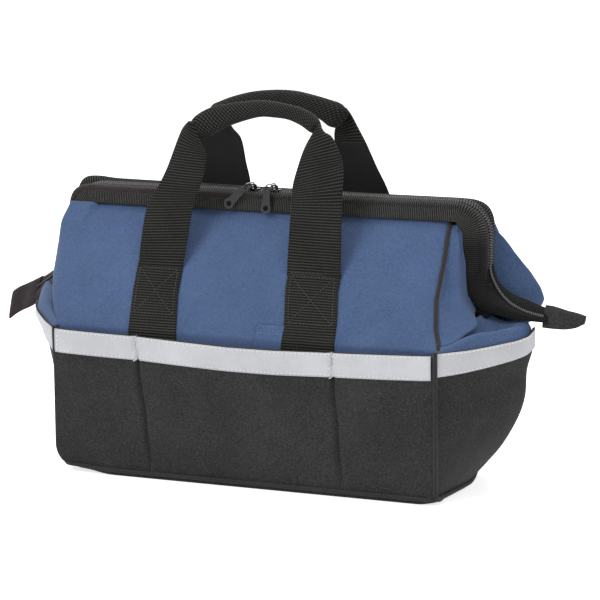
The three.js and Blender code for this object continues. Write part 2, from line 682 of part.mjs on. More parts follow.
// Half of the lip that folds over the stripe, from the corner to the nose
function gussetLip(fold) {
  const upper = new THREE.CatmullRomCurve3([
    foldLine(0, fold),
    foldLine(0.33, fold),
    foldLine(0.66, fold),
    foldLine(1, fold).add(vec(0, -1, 0)),
    vec(ROD_HALF_LENGTH + 2, -SLEEVE_FACE - 3, HINGE_Z - 5),
    vec(ROD_HALF_LENGTH + 14, -8, HINGE_Z - 14),
    vec(ROD_HALF_LENGTH + 22, 0, HINGE_Z - 17),
  ], false, 'centripetal');
  return (u, v) => {
    const y = -(1 - u) * (endHalf(LOWER_HEIGHT) - 1);
    const low = vec(endX(1, y, LOWER_HEIGHT), y, LOWER_HEIGHT + riseAt(y) + 2.5 * GAP);
    const point = low.lerp(upper.getPoint(u), v);
    const belly = 5 * Math.sin(Math.PI * v) * Math.sin(Math.PI * Math.min(u * 1.3, 1));
    return point.add(vec(belly, -belly, 0));
  };
}

function buildGusset(end, side, folds) {
  for (const [edge, front, fold] of [['front', 1, folds.front], ['rear', -1, folds.rear]]) {
    const leaf = quadrantSheet(gussetLeaf(fold), side, front, 8, 8, GUSSET_CLOTH);
    addPart(`${end}_${edge}_gusset_leaf`, leaf, 'blueCloth');
  }
  const frontLip = gussetLip(folds.front);
  const rearLip = gussetLip(folds.rear);
  const lip = (u, v) => {
    const along = side > 0 ? u : 1 - u;
    const inFront = along < 0.5;
    const point = (inFront ? frontLip : rearLip)(1 - Math.abs(2 * along - 1), v);
    return vec(side * point.x, inFront ? point.y : -point.y, point.z);
  };
  addPart(`${end}_gusset_lip`, sheet(lip, 24, 4, GUSSET_CLOTH, GUSSET_CLOTH), 'blueCloth');
}

// Zip slider: two plates on a web, with a bail on top for the link
const coilTop = ROD_TOP_Z + COIL_OFFSET + COIL_HEIGHT / 2;
const coilFoot = coilTop - COIL_HEIGHT;
const linkZ = ROD_TOP_Z + SLEEVE_ABOVE_ROD + GAP + LINK_WIRE + LINK_RADIUS;

function sliderPlate(z) {
  const shape = new THREE.Shape();
  const half = SLIDER_LENGTH / 2;
  const wide = SLIDER_WIDTH / 2;
  shape.moveTo(-half, -wide * 0.6);
  shape.lineTo(-half + 3, -wide);
  shape.lineTo(half - 5, -wide);
  shape.quadraticCurveTo(half, -wide * 0.8, half, -wide * 0.3);
  shape.lineTo(half, wide * 0.3);
  shape.quadraticCurveTo(half, wide * 0.8, half - 5, wide);
  shape.lineTo(-half + 3, wide);
  shape.lineTo(-half, wide * 0.6);
  const plate = extrude(shape, SLIDER_PLATE);
  plate.translate(0, 0, z);
  return plate;
}

function sliderBody() {
  const low = sliderPlate(coilFoot - GAP - SLIDER_PLATE);
  const high = sliderPlate(coilTop + GAP);
  const webHeight = COIL_HEIGHT + 2 * GAP + 0.2;
  const web = new THREE.BoxGeometry(SLIDER_LENGTH - 2, SLIDER_WEB, webHeight);
  web.translate(0, 0, (coilTop + coilFoot) / 2);
  const deck = coilTop + GAP + SLIDER_PLATE;
  const arch = new THREE.Shape();
  arch.moveTo(-BAIL_HALF, deck - 0.2);
  arch.lineTo(BAIL_HALF, deck - 0.2);
  arch.quadraticCurveTo(BAIL_HALF, linkZ + BAR_HALF, BAIL_HALF / 2, linkZ + BAR_HALF);
  arch.lineTo(-BAIL_HALF / 2, linkZ + BAR_HALF);
  arch.quadraticCurveTo(-BAIL_HALF, linkZ + BAR_HALF, -BAIL_HALF, deck - 0.2);
  arch.holes.push(linkWindow(linkZ, deck + 0.2));
  const bail = extrude(arch, 2 * BAR_HALF);
  bail.rotateX(Math.PI / 2);
  bail.translate(0, BAR_HALF, 0);
  return join(low, high, web, bail);
}

// The window under a bar at barZ that the wire of the link passes through
function linkWindow(barZ, footZ) {
  const half = LINK_WIRE + 1.5 * GAP;
  const hole = new THREE.Path();
  hole.moveTo(-half, footZ);
  hole.lineTo(-half, barZ - BAR_HALF);
  hole.lineTo(half, barZ - BAR_HALF);
  hole.lineTo(half, footZ);
  return hole;
}

// A wire loop standing on edge from the bail to the tab, towards the front
function linkLoop() {
  const outline = [];
  for (const [x, start] of [[LINK_LENGTH, -0.5], [0, 0.5]]) {
    for (let i = 0; i <= 4; i += 1) {
      const angle = (start + i / 4) * Math.PI;
      outline.push(vec(x + LINK_RADIUS * Math.cos(angle), LINK_RADIUS * Math.sin(angle), 0));
    }
  }
  const loop = loopSweep(outline, circleSection(LINK_WIRE, 6));
  return loop.rotateX(Math.PI / 2).rotateZ(-Math.PI / 2);
}

// A pull tab: a head round the bar that hangs on the link, and a blade with a ring at its foot
function pullTab(length, slant) {
  const head = new THREE.Shape();
  head.moveTo(HEAD_HALF * 0.7, BAR_HALF);
  head.lineTo(-HEAD_HALF * 0.7, BAR_HALF);
  head.lineTo(-HEAD_HALF, -BAR_HALF);
  head.lineTo(-HEAD_HALF, 1 - HEAD_HEIGHT);
  head.lineTo(-HEAD_HALF * 0.6, -HEAD_HEIGHT);
  head.lineTo(HEAD_HALF * 0.6, -HEAD_HEIGHT);
  head.lineTo(HEAD_HALF, 1 - HEAD_HEIGHT);
  head.lineTo(HEAD_HALF, -BAR_HALF);
  head.holes.push(linkWindow(0, -BAR_HALF - 2 * LINK_WIRE - 2.5 * GAP));
  const half = TAB_WIDTH / 2;
  const foot = -length + half;
  const shape = new THREE.Shape();
  shape.moveTo(-half * 0.62, 0.8 - HEAD_HEIGHT);
  shape.lineTo(-half * 0.8, foot + half);
  shape.absarc(0, foot, half, Math.PI * 0.85, Math.PI * 2.15, false);
  shape.lineTo(half * 0.8, foot + half);
  shape.lineTo(half * 0.62, 0.8 - HEAD_HEIGHT);
  const ring = new THREE.Path();
  ring.absarc(0, foot, half * 0.5, 0, Math.PI * 2, true);
  shape.holes.push(ring);
  const blade = extrude(shape, TAB_THICKNESS);
  blade.rotateZ(slant);
  const tab = join(extrude(head, TAB_THICKNESS), blade);
  tab.rotateX(Math.PI / 2);
  tab.translate(0, TAB_THICKNESS / 2, 0);
  return tab;
}

function buildSlider(place, x, turned, length, slant) {
  const body = sliderBody();
  if (turned) {
    body.rotateZ(Math.PI);
  }
  body.translate(x, 0, 0);
  addPart(`${place}_slider`, body, 'slider');
  const link = linkLoop();
  link.translate(x, 0, linkZ);
  addPart(`${place}_pull_link`, link, 'slider');
  const tab = pullTab(length, slant);
  tab.translate(x, -LINK_LENGTH, linkZ);
  addPart(`${place}_pull_tab`, tab, 'slider');
}

buildBase();
buildLowerBody();
buildUpperPanels();
buildHandle('front', false);
buildHandle('rear', true);
buildMouth('front', false);
buildMouth('rear', true);
buildHinge('right', 1);
buildHinge('left', -1);
buildTail('right', 1, 0);
buildTail('left', -1, 18);
buildGusset('right', 1, RIGHT_FOLDS);
buildGusset('left', -1, LEFT_FOLDS);
buildSlider('left', LEFT_SLIDER_X, true, LEFT_TAB_LENGTH, LEFT_TAB_SLANT);
buildSlider('right', RIGHT_SLIDER_X, false, RIGHT_TAB_LENGTH, RIGHT_TAB_SLANT);

export default group;
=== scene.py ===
"""Dresses the gate-mouth tool bag: cloth panels, webbing, zip, hinged mouth and studio."""

import logging
import math
from collections.abc import Sequence
from dataclasses import dataclass, field
from enum import Enum

import bpy
import numpy as np
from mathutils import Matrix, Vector

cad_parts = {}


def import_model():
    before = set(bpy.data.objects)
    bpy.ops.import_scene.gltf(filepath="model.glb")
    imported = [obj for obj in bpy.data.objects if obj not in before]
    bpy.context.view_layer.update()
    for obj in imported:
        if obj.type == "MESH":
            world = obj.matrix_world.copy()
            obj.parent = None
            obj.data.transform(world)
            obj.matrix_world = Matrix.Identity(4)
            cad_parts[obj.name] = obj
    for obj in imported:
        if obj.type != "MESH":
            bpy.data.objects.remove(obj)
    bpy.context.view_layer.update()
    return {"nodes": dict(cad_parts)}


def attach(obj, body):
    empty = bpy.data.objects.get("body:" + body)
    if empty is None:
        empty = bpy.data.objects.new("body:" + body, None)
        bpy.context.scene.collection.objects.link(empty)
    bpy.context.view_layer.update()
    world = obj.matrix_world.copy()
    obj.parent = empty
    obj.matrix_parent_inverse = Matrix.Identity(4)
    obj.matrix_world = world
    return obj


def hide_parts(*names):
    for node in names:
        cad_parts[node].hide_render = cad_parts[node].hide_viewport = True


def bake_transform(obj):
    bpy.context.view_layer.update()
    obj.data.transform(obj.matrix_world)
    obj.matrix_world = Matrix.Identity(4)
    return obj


MM = 0.001
log = logging.getLogger("tool_bag")

Array = np.ndarray
Point = tuple[float, float, float]

# How many samples lie between two points of a curve before they are spread evenly
SPAN_SAMPLES = 24

# Places between which cloth would go over from one body to the next, in millimetres; place() is handed
# them but does not use them
LIP_BLEND = ((0, 0, 150.0), (0, 0, 184.0))
BOOT_BLEND = ((0, 0, 178.0), (0, 0, 198.0))
TAIL_BLEND = ((0, 0, 184.0), (0, 0, 206.0))


class Place(Enum):
    """A part of the bag that piece names speak of."""

    @property
    def word(self) -> str:
        """Its name in piece names."""
        return self.name.lower()


class Side(Place):
    """A long side of the bag, with the sign of its y."""

    FRONT = -1
    REAR = 1


class End(Place):
    """An end of the bag, with the sign of its x."""

    LEFT = -1
    RIGHT = 1


# Cloth shapes as arrays, in millimetres


def smooth(value: Array | float) -> Array | float:
    """Eases a share from 0 to 1, held at both ends."""
    t = np.clip(value, 0.0, 1.0)
    return t * t * (3.0 - 2.0 * t)


def along(table: Sequence[tuple[float, float]], at: Array | float) -> Array | float:
    """Reads a curve given as (place, value) pairs."""
    places = [row[0] for row in table]
    values = [row[1] for row in table]
    return np.interp(at, places, values)


def resample(points: Array, station: Array) -> Array:
    """Reads a smooth curve through points at fractional point numbers."""
    padded = np.vstack([2 * points[0] - points[1], points, 2 * points[-1] - points[-2]])
    i = np.clip(station.astype(int), 0, len(points) - 2)
    t = (station - i)[:, None]
    a, b, c, d = padded[i], padded[i + 1], padded[i + 2], padded[i + 3]
    part = 2 * b + (c - a) * t + (2 * a - 5 * b + 4 * c - d) * t**2
    return (part + (3 * b - a - 3 * c + d) * t**3) / 2


def run_of(path: Array) -> Array:
    """Gives the length along a path up to each of its points."""
    return np.r_[0, np.cumsum(np.linalg.norm(np.diff(path, axis=0), axis=1))]


def read_path(path: Array, run: Array, at: Array) -> Array:
    """Gives the points of a path at some lengths along it."""
    return np.stack([np.interp(at, run, column) for column in path.T], axis=1)


def upright(rows: Sequence[tuple[float, float]]) -> Array:
    """Puts pairs of x and z in the plane y = 0."""
    return np.array([(x, 0.0, z) for x, z in rows])


def blunt_circle(sides: int, along_cos: float, along_sin: float) -> tuple[Array, Array]:
    """Gives the cosines and sines round a circle, squared off by powers below 1."""
    angle = np.linspace(0, 2 * math.pi, sides, endpoint=False)
    c, s = np.cos(angle), np.sin(angle)
    return np.sign(c) * np.abs(c) ** along_cos, np.sign(s) * np.abs(s) ** along_sin


def curve_through(points: Sequence[Point], count: int) -> Array:
    """Lays a smooth curve through points.

    Args:
        points: The places that the curve passes, in millimetres.
        count: How many samples come back.

    Returns:
        The samples, evenly spread by length.
    """
    knots = np.array(points, float)
    station = np.arange((len(knots) - 1) * SPAN_SAMPLES + 1) / SPAN_SAMPLES
    line = resample(knots, station)
    run = run_of(line)
    return read_path(line, run, np.linspace(0, run[-1], count))


def unit(vectors: Array) -> Array:
    """Scales each vector to length one."""
    size = np.linalg.norm(vectors, axis=-1, keepdims=True)
    return vectors / np.maximum(size, 1e-9)


def grid_normals(grid: Array) -> Array:
    """Gives the unit normals of a surface grid."""
    rows = np.gradient(grid, axis=0)
    columns = np.gradient(grid, axis=1)
    return unit(np.cross(columns, rows))


def grid_lengths(grid: Array) -> Array:
    """Gives the lengths along a grid's columns and rows, in metres, as texture places."""
    across = np.zeros(grid.shape[:2])
    across[:, 1:] = np.cumsum(np.linalg.norm(np.diff(grid, axis=1), axis=2), axis=1)
    across -= across[:, -1:] / 2
    upward = np.zeros(grid.shape[:2])
    upward[1:] = np.cumsum(np.linalg.norm(np.diff(grid, axis=0), axis=2), axis=0)
    return np.stack([across, upward], axis=2) * MM


@dataclass(frozen=True)
class Fold:
    """A soft ridge, or a valley where its height is below zero, between two places of a sheet."""

    start: tuple[float, float]
    end: tuple[float, float]
    width: float
    height: float

    def lift(self, a: Array, b: Array) -> Array:
        """Gives how far the fold lifts the cloth.

        Args:
            a: Places along the sheet's first direction.
            b: Places along its second direction.

        Returns:
            The lift at each place, in millimetres.
        """
        ax, ay = self.start
        dx = self.end[0] - ax
        dy = self.end[1] - ay
        length = math.hypot(dx, dy)
        t = ((a - ax) * dx + (b - ay) * dy) / length**2
        off = ((a - ax) * dy - (b - ay) * dx) / length
        ends = smooth(t * 2.6 + 0.35) * smooth((1 - t) * 2.6 + 0.35)
        return self.height * np.exp(-((off / self.width) ** 2)) * ends


def wander(a: Array, b: Array, wave: float, seed: float) -> Array:
    """A gentle unevenness of hung cloth, between about -1 and 1.

    Args:
        a: Places along the first direction, in millimetres.
        b: Places along the second direction.
        wave: The length of its broadest wave.
        seed: Shifts the pattern, so that no two pieces match.

    Returns:
        The unevenness at each place.
    """
    k = 2 * math.pi / wave
    first = np.sin(k * (a * 0.9 + b * 0.35) + seed)
    second = np.sin(k * (b * 1.25 - a * 0.4) + seed * 2.3)
    third = np.sin(k * (a * 2.1 + b * 1.1) + seed * 4.1)
    fourth = np.sin(k * (b * 2.7 - a * 1.7) + seed * 1.7)
    return 0.4 * first + 0.3 * second + 0.18 * third + 0.12 * fourth


class Cloth:
    """Gathers faces for one closed piece, in millimetres, with texture places in metres."""

    def __init__(self) -> None:
        """Starts empty."""
        self.points: list[Array] = []
        self.faces: list[tuple[int, ...]] = []
        self.places: list[tuple[tuple[float, float], ...]] = []
        self.count = 0

    def _keep(self, points: Array) -> int:
        """Stores points and gives the number of the first."""
        start = self.count
        self.points.append(points.reshape(-1, 3))
        self.count += len(self.points[-1])
        return start

    def shell(self, outer: Array, thickness: float) -> "Cloth":
        """Adds a sheet with a real thickness.

        Args:
            outer: The outer surface as rows of points, whose normals face out.
            thickness: How far behind it the inner surface lies.

        Returns:
            This same gatherer.
        """
        rows, columns = outer.shape[:2]
        inner = outer - grid_normals(outer) * thickness
        places = grid_lengths(outer)
        first = self._keep(outer)
        second = self._keep(inner)

        def quad(cells: Sequence[tuple[int, int]], layers: Sequence[int]) -> None:
            """Adds a face over grid cells of the given layers."""
            starts = (first, second)
            marks = zip(cells, layers)
            self.faces.append(tuple(starts[k] + i * columns + j for (i, j), k in marks))
            self.places.append(tuple(tuple(places[i, j]) for i, j in cells))

        for i in range(rows - 1):
            for j in range(columns - 1):
                cells = [(i, j), (i, j + 1), (i + 1, j + 1), (i + 1, j)]
                quad(cells, (0, 0, 0, 0))
                quad(cells[::-1], (1, 1, 1, 1))
        for j in range(columns - 1):
            quad([(0, j), (0, j), (0, j + 1), (0, j + 1)], (0, 1, 1, 0))
            last = rows - 1
            quad([(last, j + 1), (last, j + 1), (last, j), (last, j)], (0, 1, 1, 0))
        for i in range(rows - 1):
            quad([(i + 1, 0), (i + 1, 0), (i, 0), (i, 0)], (0, 1, 1, 0))
            last = columns - 1
            quad([(i, last), (i, last), (i + 1, last), (i + 1, last)], (0, 1, 1, 0))
        return self

    def loft(self, rings: Array, closed: bool = False) -> "Cloth":
        """Adds a skin over rings of points, with end caps unless it closes on itself.

        Args:
            rings: One row of points for each ring.
            closed: Whether the last ring joins the first.

        Returns:
            This same gatherer.
        """
        count, sides = rings.shape[:2]
        first = self._keep(rings)
        middle = rings.mean(axis=1)
        run = run_of(middle) * MM
        loop = np.vstack([rings[count // 2], rings[count // 2][:1]])
        turn = run_of(loop) * MM
        turn = turn - turn[-1] / 4
        around = np.cross(rings, np.roll(rings, -1, axis=1)).sum(axis=1)
        order = 1 if (around * np.gradient(middle, axis=0)).sum() > 0 else -1
        for i in range(count if closed else count - 1):
            following = (i + 1) % count
            far = run[i + 1] if i + 1 < count else run[-1] + run[1]
            for j in range(sides):
                k = (j + 1) % sides
                face = (
                    first + i * sides + j,
                    first + i * sides + k,
                    first + following * sides + k,
                    first + following * sides + j,
                )
                self.faces.append(face[::order])
                low = (turn[j], run[i])
                right = (turn[j + 1], run[i])
                high = (turn[j + 1], far)
                self.places.append((low, right, high, (turn[j], far))[::order])
        if not closed:
            for index, facing in ((0, -order), (count - 1, order)):
                face = tuple(first + index * sides + j for j in range(sides))[::facing]
                self.faces.append(face)
                self.places.append(tuple((turn[j], run[index]) for j in range(sides)))
        return self

    def cord(
        self, path: Array, radius: float | Array, sides: int = 10, closed: bool = False
    ) -> "Cloth":
        """Adds a round cord along a path.

        Args:
            path: The middle of the cord.
            radius: Its radius, one for all or one for each point.
            sides: How many faces go round it.
            closed: Whether the cord closes on itself.

        Returns:
            This same gatherer.
        """
        if closed:
            ahead = unit(np.roll(path, -1, axis=0) - np.roll(path, 1, axis=0))
        else:
            ahead = unit(np.gradient(path, axis=0))
        start = np.array([0.0, 0.0, 1.0])
        if abs(ahead[0] @ start) > 0.9:
            start = np.array([0.0, 1.0, 0.0])
        side = np.zeros_like(path)
        now = start
        for i, direction in enumerate(ahead):
            now = now - (now @ direction) * direction
            now = now / np.linalg.norm(now)
            side[i] = now
        other = np.cross(ahead, side)
        angle = np.linspace(0, 2 * math.pi, sides, endpoint=False)
        size = np.broadcast_to(radius, (len(path),))[:, None, None]
        ring = (
            side[:, None, :] * np.cos(angle)[None, :, None]
            + other[:, None, :] * np.sin(angle)[None, :, None]
        )
        return self.loft(path[:, None, :] + ring * size, closed)

    def piece(self, name: str, finish: bpy.types.Material) -> bpy.types.Object:
        """Makes the Blender object.

        Args:
            name: The piece's name.
            finish: Its material.

        Returns:
            The object, smooth shaded and linked to the scene.
        """
        mesh = bpy.data.meshes.new(name)
        points = np.vstack(self.points) * MM
        mesh.from_pydata(points.tolist(), [], self.faces)
        layer = mesh.uv_layers.new(name="UVMap")
        flat = np.array([uv for face in self.places for uv in face], np.float32)
        layer.data.foreach_set("uv", flat.ravel())
        mesh.polygons.foreach_set("use_smooth", [True] * len(mesh.polygons))
        mesh.materials.append(finish)
        mesh.update()
        obj = bpy.data.objects.new(name, mesh)
        bpy.context.scene.collection.objects.link(obj)
        return obj


# Where the five rings of a stitch are along it, and how thick it is at each
STITCH_PLACES = np.array([0.0, 0.18, 0.5, 0.82, 1.0])
STITCH_SWELL = np.array([0.35, 0.85, 1.0, 0.85, 0.35])


@dataclass(frozen=True)
class Stitching:
    """A row of thread stitches lying on cloth."""

    length: float = 2.6
    gap: float = 1.2
    radius: float = 0.42

    def add(self, cloth: Cloth, path: Array) -> None:
        """Adds one stitch after another along a path.

        Args:
            cloth: What gathers the faces.
            path: The line of the seam, in millimetres.
        """
        run = run_of(path)
        pitch = self.length + self.gap
        for k in range(max(1, int(run[-1] / pitch))):
            at = STITCH_PLACES * self.length + k * pitch + self.gap / 2
            line = read_path(path, run, at)
            if np.linalg.norm(line[-1] - line[0]) < self.length / 2:
                continue
            cloth.cord(line, self.radius * STITCH_SWELL, sides=6)


BAND_STITCH = Stitching(2.9, 1.5, 0.5)
TACK_STITCH = Stitching(1.9, 0.5, 0.62)
SEAM_STITCH = Stitching(2.6, 0.5, 0.75)
BOX_STITCH = Stitching(2.8, 1.0, 0.5)
TAB_STITCH = Stitching(2.0, 1.4, 0.35)


# Finishes


def linear(code: str) -> tuple[float, float, float, float]:
    """Turns a screen colour such as 4a6389 into a linear one."""
    parts = [int(code[i : i + 2], 16) / 255 for i in (0, 2, 4)]
    values = [c / 12.92 if c <= 0.04045 else ((c + 0.055) / 1.055) ** 2.4 for c in parts]
    return (values[0], values[1], values[2], 1.0)


class Board:
    """A material's node tree, with short ways to add and join nodes."""

    def __init__(self, name: str) -> None:
        """Starts a material that holds only its shader and output."""
        self.material = bpy.data.materials.new(name)
        self.material.use_nodes = True
        self.tree = self.material.node_tree
        self.shader = self.tree.nodes["Principled BSDF"]

    def node(self, kind: str, **settings: object) -> bpy.types.Node:
        """Adds a node and sets its options."""
        made = self.tree.nodes.new(kind)
        for key, value in settings.items():
            setattr(made, key, value)
        return made

    def join(self, source: bpy.types.NodeSocket, target: bpy.types.NodeSocket) -> None:
        """Links one socket to another."""
        self.tree.links.new(source, target)

    def sheet_places(self) -> bpy.types.NodeSocket:
        """Gives the texture places, which are in metres."""
        return self.node("ShaderNodeTexCoord").outputs["UV"]

    def solid_places(self) -> bpy.types.NodeSocket:
        """Gives places in the piece's own space, in metres."""
        return self.node("ShaderNodeTexCoord").outputs["Object"]

    def bands(
        self, places: bpy.types.NodeSocket, pitch: float, direction: str, warp: float = 0.0
    ) -> bpy.types.NodeSocket:
        """Adds even threads or ribs.

        Args:
            places: Where the texture is read.
            pitch: The distance from one thread to the next, in metres.
            direction: The axis across the threads.
            warp: How much they wander.

        Returns:
            A wave from 0 to 1.
        """
        wave = self.node("ShaderNodeTexWave", bands_direction=direction)
        wave.inputs["Scale"].default_value = math.pi / 10 / pitch
        wave.inputs["Distortion"].default_value = warp
        wave.inputs["Detail"].default_value = 2.0
        self.join(places, wave.inputs["Vector"])
        return wave.outputs["Fac"]

    def speckle(
        self, places: bpy.types.NodeSocket, scale: float, detail: float = 3.0
    ) -> bpy.types.NodeSocket:
        """Adds noise.

        Args:
            places: Where the texture is read.
            scale: How fine it is, in cells for each metre.
            detail: How many finer layers it has.

        Returns:
            The noise, about 0.5 on average.
        """
        noise = self.node("ShaderNodeTexNoise")
        noise.inputs["Scale"].default_value = scale
        noise.inputs["Detail"].default_value = detail
        noise.inputs["Roughness"].default_value = 0.6
        self.join(places, noise.inputs["Vector"])
        return noise.outputs["Fac"]

    def height_share(
        self, places: bpy.types.NodeSocket, start: float, reach: float
    ) -> bpy.types.NodeSocket:
        """Rises from 0 to 1 with height.

        Args:
            places: Where the height is read.
            start: The height where it starts to rise, in metres.
            reach: How far above the start it becomes 1.

        Returns:
            The share.
        """
        parts = self.node("ShaderNodeSeparateXYZ")
        self.join(places, parts.inputs["Vector"])
        share = self.node("ShaderNodeMapRange", interpolation_type="SMOOTHSTEP")
        share.inputs["From Min"].default_value = start
        share.inputs["From Max"].default_value = start + reach
        self.join(parts.outputs["Z"], share.inputs["Value"])
        return share.outputs["Result"]

    def sum(
        self, parts: Sequence[tuple[bpy.types.NodeSocket, float]]
    ) -> bpy.types.NodeSocket:
        """Adds up sockets, each with its own weight."""
        total: bpy.types.NodeSocket | None = None
        for source, weight in parts:
            step = self.node("ShaderNodeMath", operation="MULTIPLY_ADD")
            step.inputs[1].default_value = weight
            step.inputs[2].default_value = 0.0
            self.join(source, step.inputs[0])
            if total is not None:
                self.join(total, step.inputs[2])
            total = step.outputs[0]
        return total

    def colour(
        self, source: bpy.types.NodeSocket, stops: Sequence[tuple[float, str]]
    ) -> None:
        """Colours the shader by a value.

        Args:
            source: The value.
            stops: Pairs of value and screen colour.
        """
        ramp = self.node("ShaderNodeValToRGB")
        while len(ramp.color_ramp.elements) < len(stops):
            ramp.color_ramp.elements.new(0.5)
        for element, (place, code) in zip(ramp.color_ramp.elements, stops):
            element.position = place
            element.color = linear(code)
        self.join(source, ramp.inputs["Fac"])
        self.join(ramp.outputs["Color"], self.shader.inputs["Base Color"])

    def bump(self, source: bpy.types.NodeSocket, depth: float, strength: float) -> None:
        """Adds relief.

        Args:
            source: The height.
            depth: How deep one unit of height is, in metres.
            strength: How much of it shows.
        """
        made = self.node("ShaderNodeBump")
        made.inputs["Distance"].default_value = depth
        made.inputs["Strength"].default_value = strength
        self.join(source, made.inputs["Height"])
        self.join(made.outputs["Normal"], self.shader.inputs["Normal"])

    def surface(self, roughness: float, sheen: float = 0.0, metal: float = 0.0) -> None:
        """Sets the shader's plain numbers.

        Args:
            roughness: From 0, a mirror, to 1.
            sheen: How much fibres catch the light.
            metal: 1 for metal.
        """
        self.shader.inputs["Roughness"].default_value = roughness
        self.shader.inputs["Sheen Weight"].default_value = sheen
        self.shader.inputs["Sheen Roughness"].default_value = 0.5
        self.shader.inputs["Metallic"].default_value = metal


@dataclass(frozen=True)
class WovenCloth:
    """A matt woven canvas of warp and weft threads, worn a little unevenly."""

    name: str
    dark: str
    middle: str
    light: str
    pitch: float = 0.00085
    relief: float = 0.00025
    sheen: float = 0.15

    def material(self) -> bpy.types.Material:
        """Makes the material."""
        board = Board(self.name)
        sheet = board.sheet_places()
        solid = board.solid_places()
        warp = board.bands(sheet, self.pitch, "X", 0.6)
        weft = board.bands(sheet, self.pitch * 0.92, "Y", 0.6)
        fibre = board.speckle(solid, 1500.0, 2.0)
        slub = board.speckle(solid, 420.0, 3.0)
        patch = board.speckle(solid, 14.0, 4.0)
        grain = board.speckle(solid, 800.0, 2.0)
        parts = [(warp, 0.07), (weft, 0.07), (fibre, 0.2), (grain, 0.34), (slub, 0.16), (patch, 0.16)]
        tone = board.sum(parts)
        stops = [(0.4, self.dark), (0.5, self.middle), (0.6, self.light)]
        board.colour(tone, stops)
        board.bump(board.sum([(warp, 0.5), (weft, 0.5), (fibre, 0.6)]), self.relief, 0.7)
        board.surface(0.86, self.sheen)
        board.shader.inputs["Specular IOR Level"].default_value = 0.25
        return board.material


class Rib(Enum):
    """How the ribs of a webbing or tape run."""

    ACROSS = "across"
    HERRINGBONE = "herringbone"


@dataclass(frozen=True)
class RibbedWebbing:
    """Heavy narrow webbing with ribs from edge to edge, or in a herringbone."""

    name: str
    dark: str
    middle: str
    light: str
    pitch: float = 0.0028
    relief: float = 0.0009
    rib: Rib = Rib.ACROSS
    # Height in metres below which the webbing's tone is darkened as painted shade; -1 leaves it
    # unshaded.
    shaded_below: float = -1.0

    def material(self) -> bpy.types.Material:
        """Makes the material."""
        board = Board(self.name)
        sheet = board.sheet_places()
        solid = board.solid_places()
        if self.rib is Rib.HERRINGBONE:
            turned = board.node("ShaderNodeMapping")
            turned.inputs["Rotation"].default_value = (0.0, 0.0, math.radians(38))
            board.join(sheet, turned.inputs["Vector"])
            main = board.bands(turned.outputs["Vector"], self.pitch, "X", 0.3)
            back = board.node("ShaderNodeMapping")
            back.inputs["Rotation"].default_value = (0.0, 0.0, math.radians(-38))
            board.join(sheet, back.inputs["Vector"])
            cross = board.bands(back.outputs["Vector"], self.pitch * 1.7, "X", 0.3)
        else:
            main = board.bands(sheet, self.pitch, "Y", 0.5)
            cross = board.bands(sheet, self.pitch * 0.62, "X", 0.9)
        fibre = board.speckle(solid, 1300.0, 2.0)
        patch = board.speckle(solid, 25.0, 3.0)
        # Painted shade: below shaded_below the tone drops by 0.2. This stands in for shade that falls
        # there, not for a darker cloth.
        above = board.height_share(solid, self.shaded_below, 0.03)
        tone = board.sum([(main, 0.38), (cross, 0.16), (fibre, 0.3), (patch, 0.16), (above, 0.2)])
        stops = [(0.48, self.dark), (0.7, self.middle), (0.94, self.light)]
        board.colour(tone, stops)
        height = board.sum([(main, 0.8), (cross, 0.25), (fibre, 0.35)])
        board.bump(height, self.relief, 0.8)
        board.surface(0.8, 0.03)
        board.shader.inputs["Specular IOR Level"].default_value = 0.16
        return board.material


@dataclass(frozen=True)
class PaleTape:
    """A pale woven band that throws light back softly."""

    name: str = "pale_tape"

    def material(self) -> bpy.types.Material:
        """Makes the material."""
        board = Board(self.name)
        sheet = board.sheet_places()
        solid = board.solid_places()
        weft = board.bands(sheet, 0.0007, "Y", 0.4)
        warp = board.bands(sheet, 0.0007, "X", 0.4)
        fibre = board.speckle(solid, 900.0, 2.0)
        patch = board.speckle(solid, 18.0, 4.0)
        tone = board.sum([(weft, 0.06), (warp, 0.06), (fibre, 0.38), (patch, 0.5)])
        board.colour(tone, [(0.35, "bfc0c4"), (0.5, "cdced1"), (0.65, "d9dadd")])
        board.bump(board.sum([(weft, 0.5), (warp, 0.5), (fibre, 0.4)]), 0.00012, 0.5)
        board.surface(0.55, 0.3)
        return board.material


@dataclass(frozen=True)
class Thread:
    """Twisted sewing thread."""

    name: str
    colour: str
    light: str

    def material(self) -> bpy.types.Material:
        """Makes the material."""
        board = Board(self.name)
        twist = board.bands(board.sheet_places(), 0.0006, "Y", 0.2)
        fibre = board.speckle(board.solid_places(), 1600.0, 2.0)
        board.colour(
            board.sum([(twist, 0.4), (fibre, 0.6)]), [(0.3, self.colour), (0.75, self.light)]
        )
        board.bump(twist, 0.0001, 0.6)
        board.surface(0.6, 0.2)
        return board.material


@dataclass(frozen=True)
class Enamel:
    """Dark enamel on cast metal, with a faintly mottled tone."""

    name: str = "slider_enamel"

    def material(self) -> bpy.types.Material:
        """Makes the material."""
        board = Board(self.name)
        solid = board.solid_places()
        grain = board.speckle(solid, 700.0, 3.0)
        rub = board.speckle(solid, 190.0, 4.0)
        board.colour(
            board.sum([(grain, 0.4), (rub, 0.6)]),
            [(0.3, "050506"), (0.55, "0b0b0c"), (0.76, "1f1f21")],
        )
        board.bump(grain, 0.00006, 0.4)
        board.surface(0.26)
        board.shader.inputs["Specular IOR Level"].default_value = 0.35
        board.shader.inputs["Coat Weight"].default_value = 0.2
        board.shader.inputs["Coat Roughness"].default_value = 0.12
        return board.material


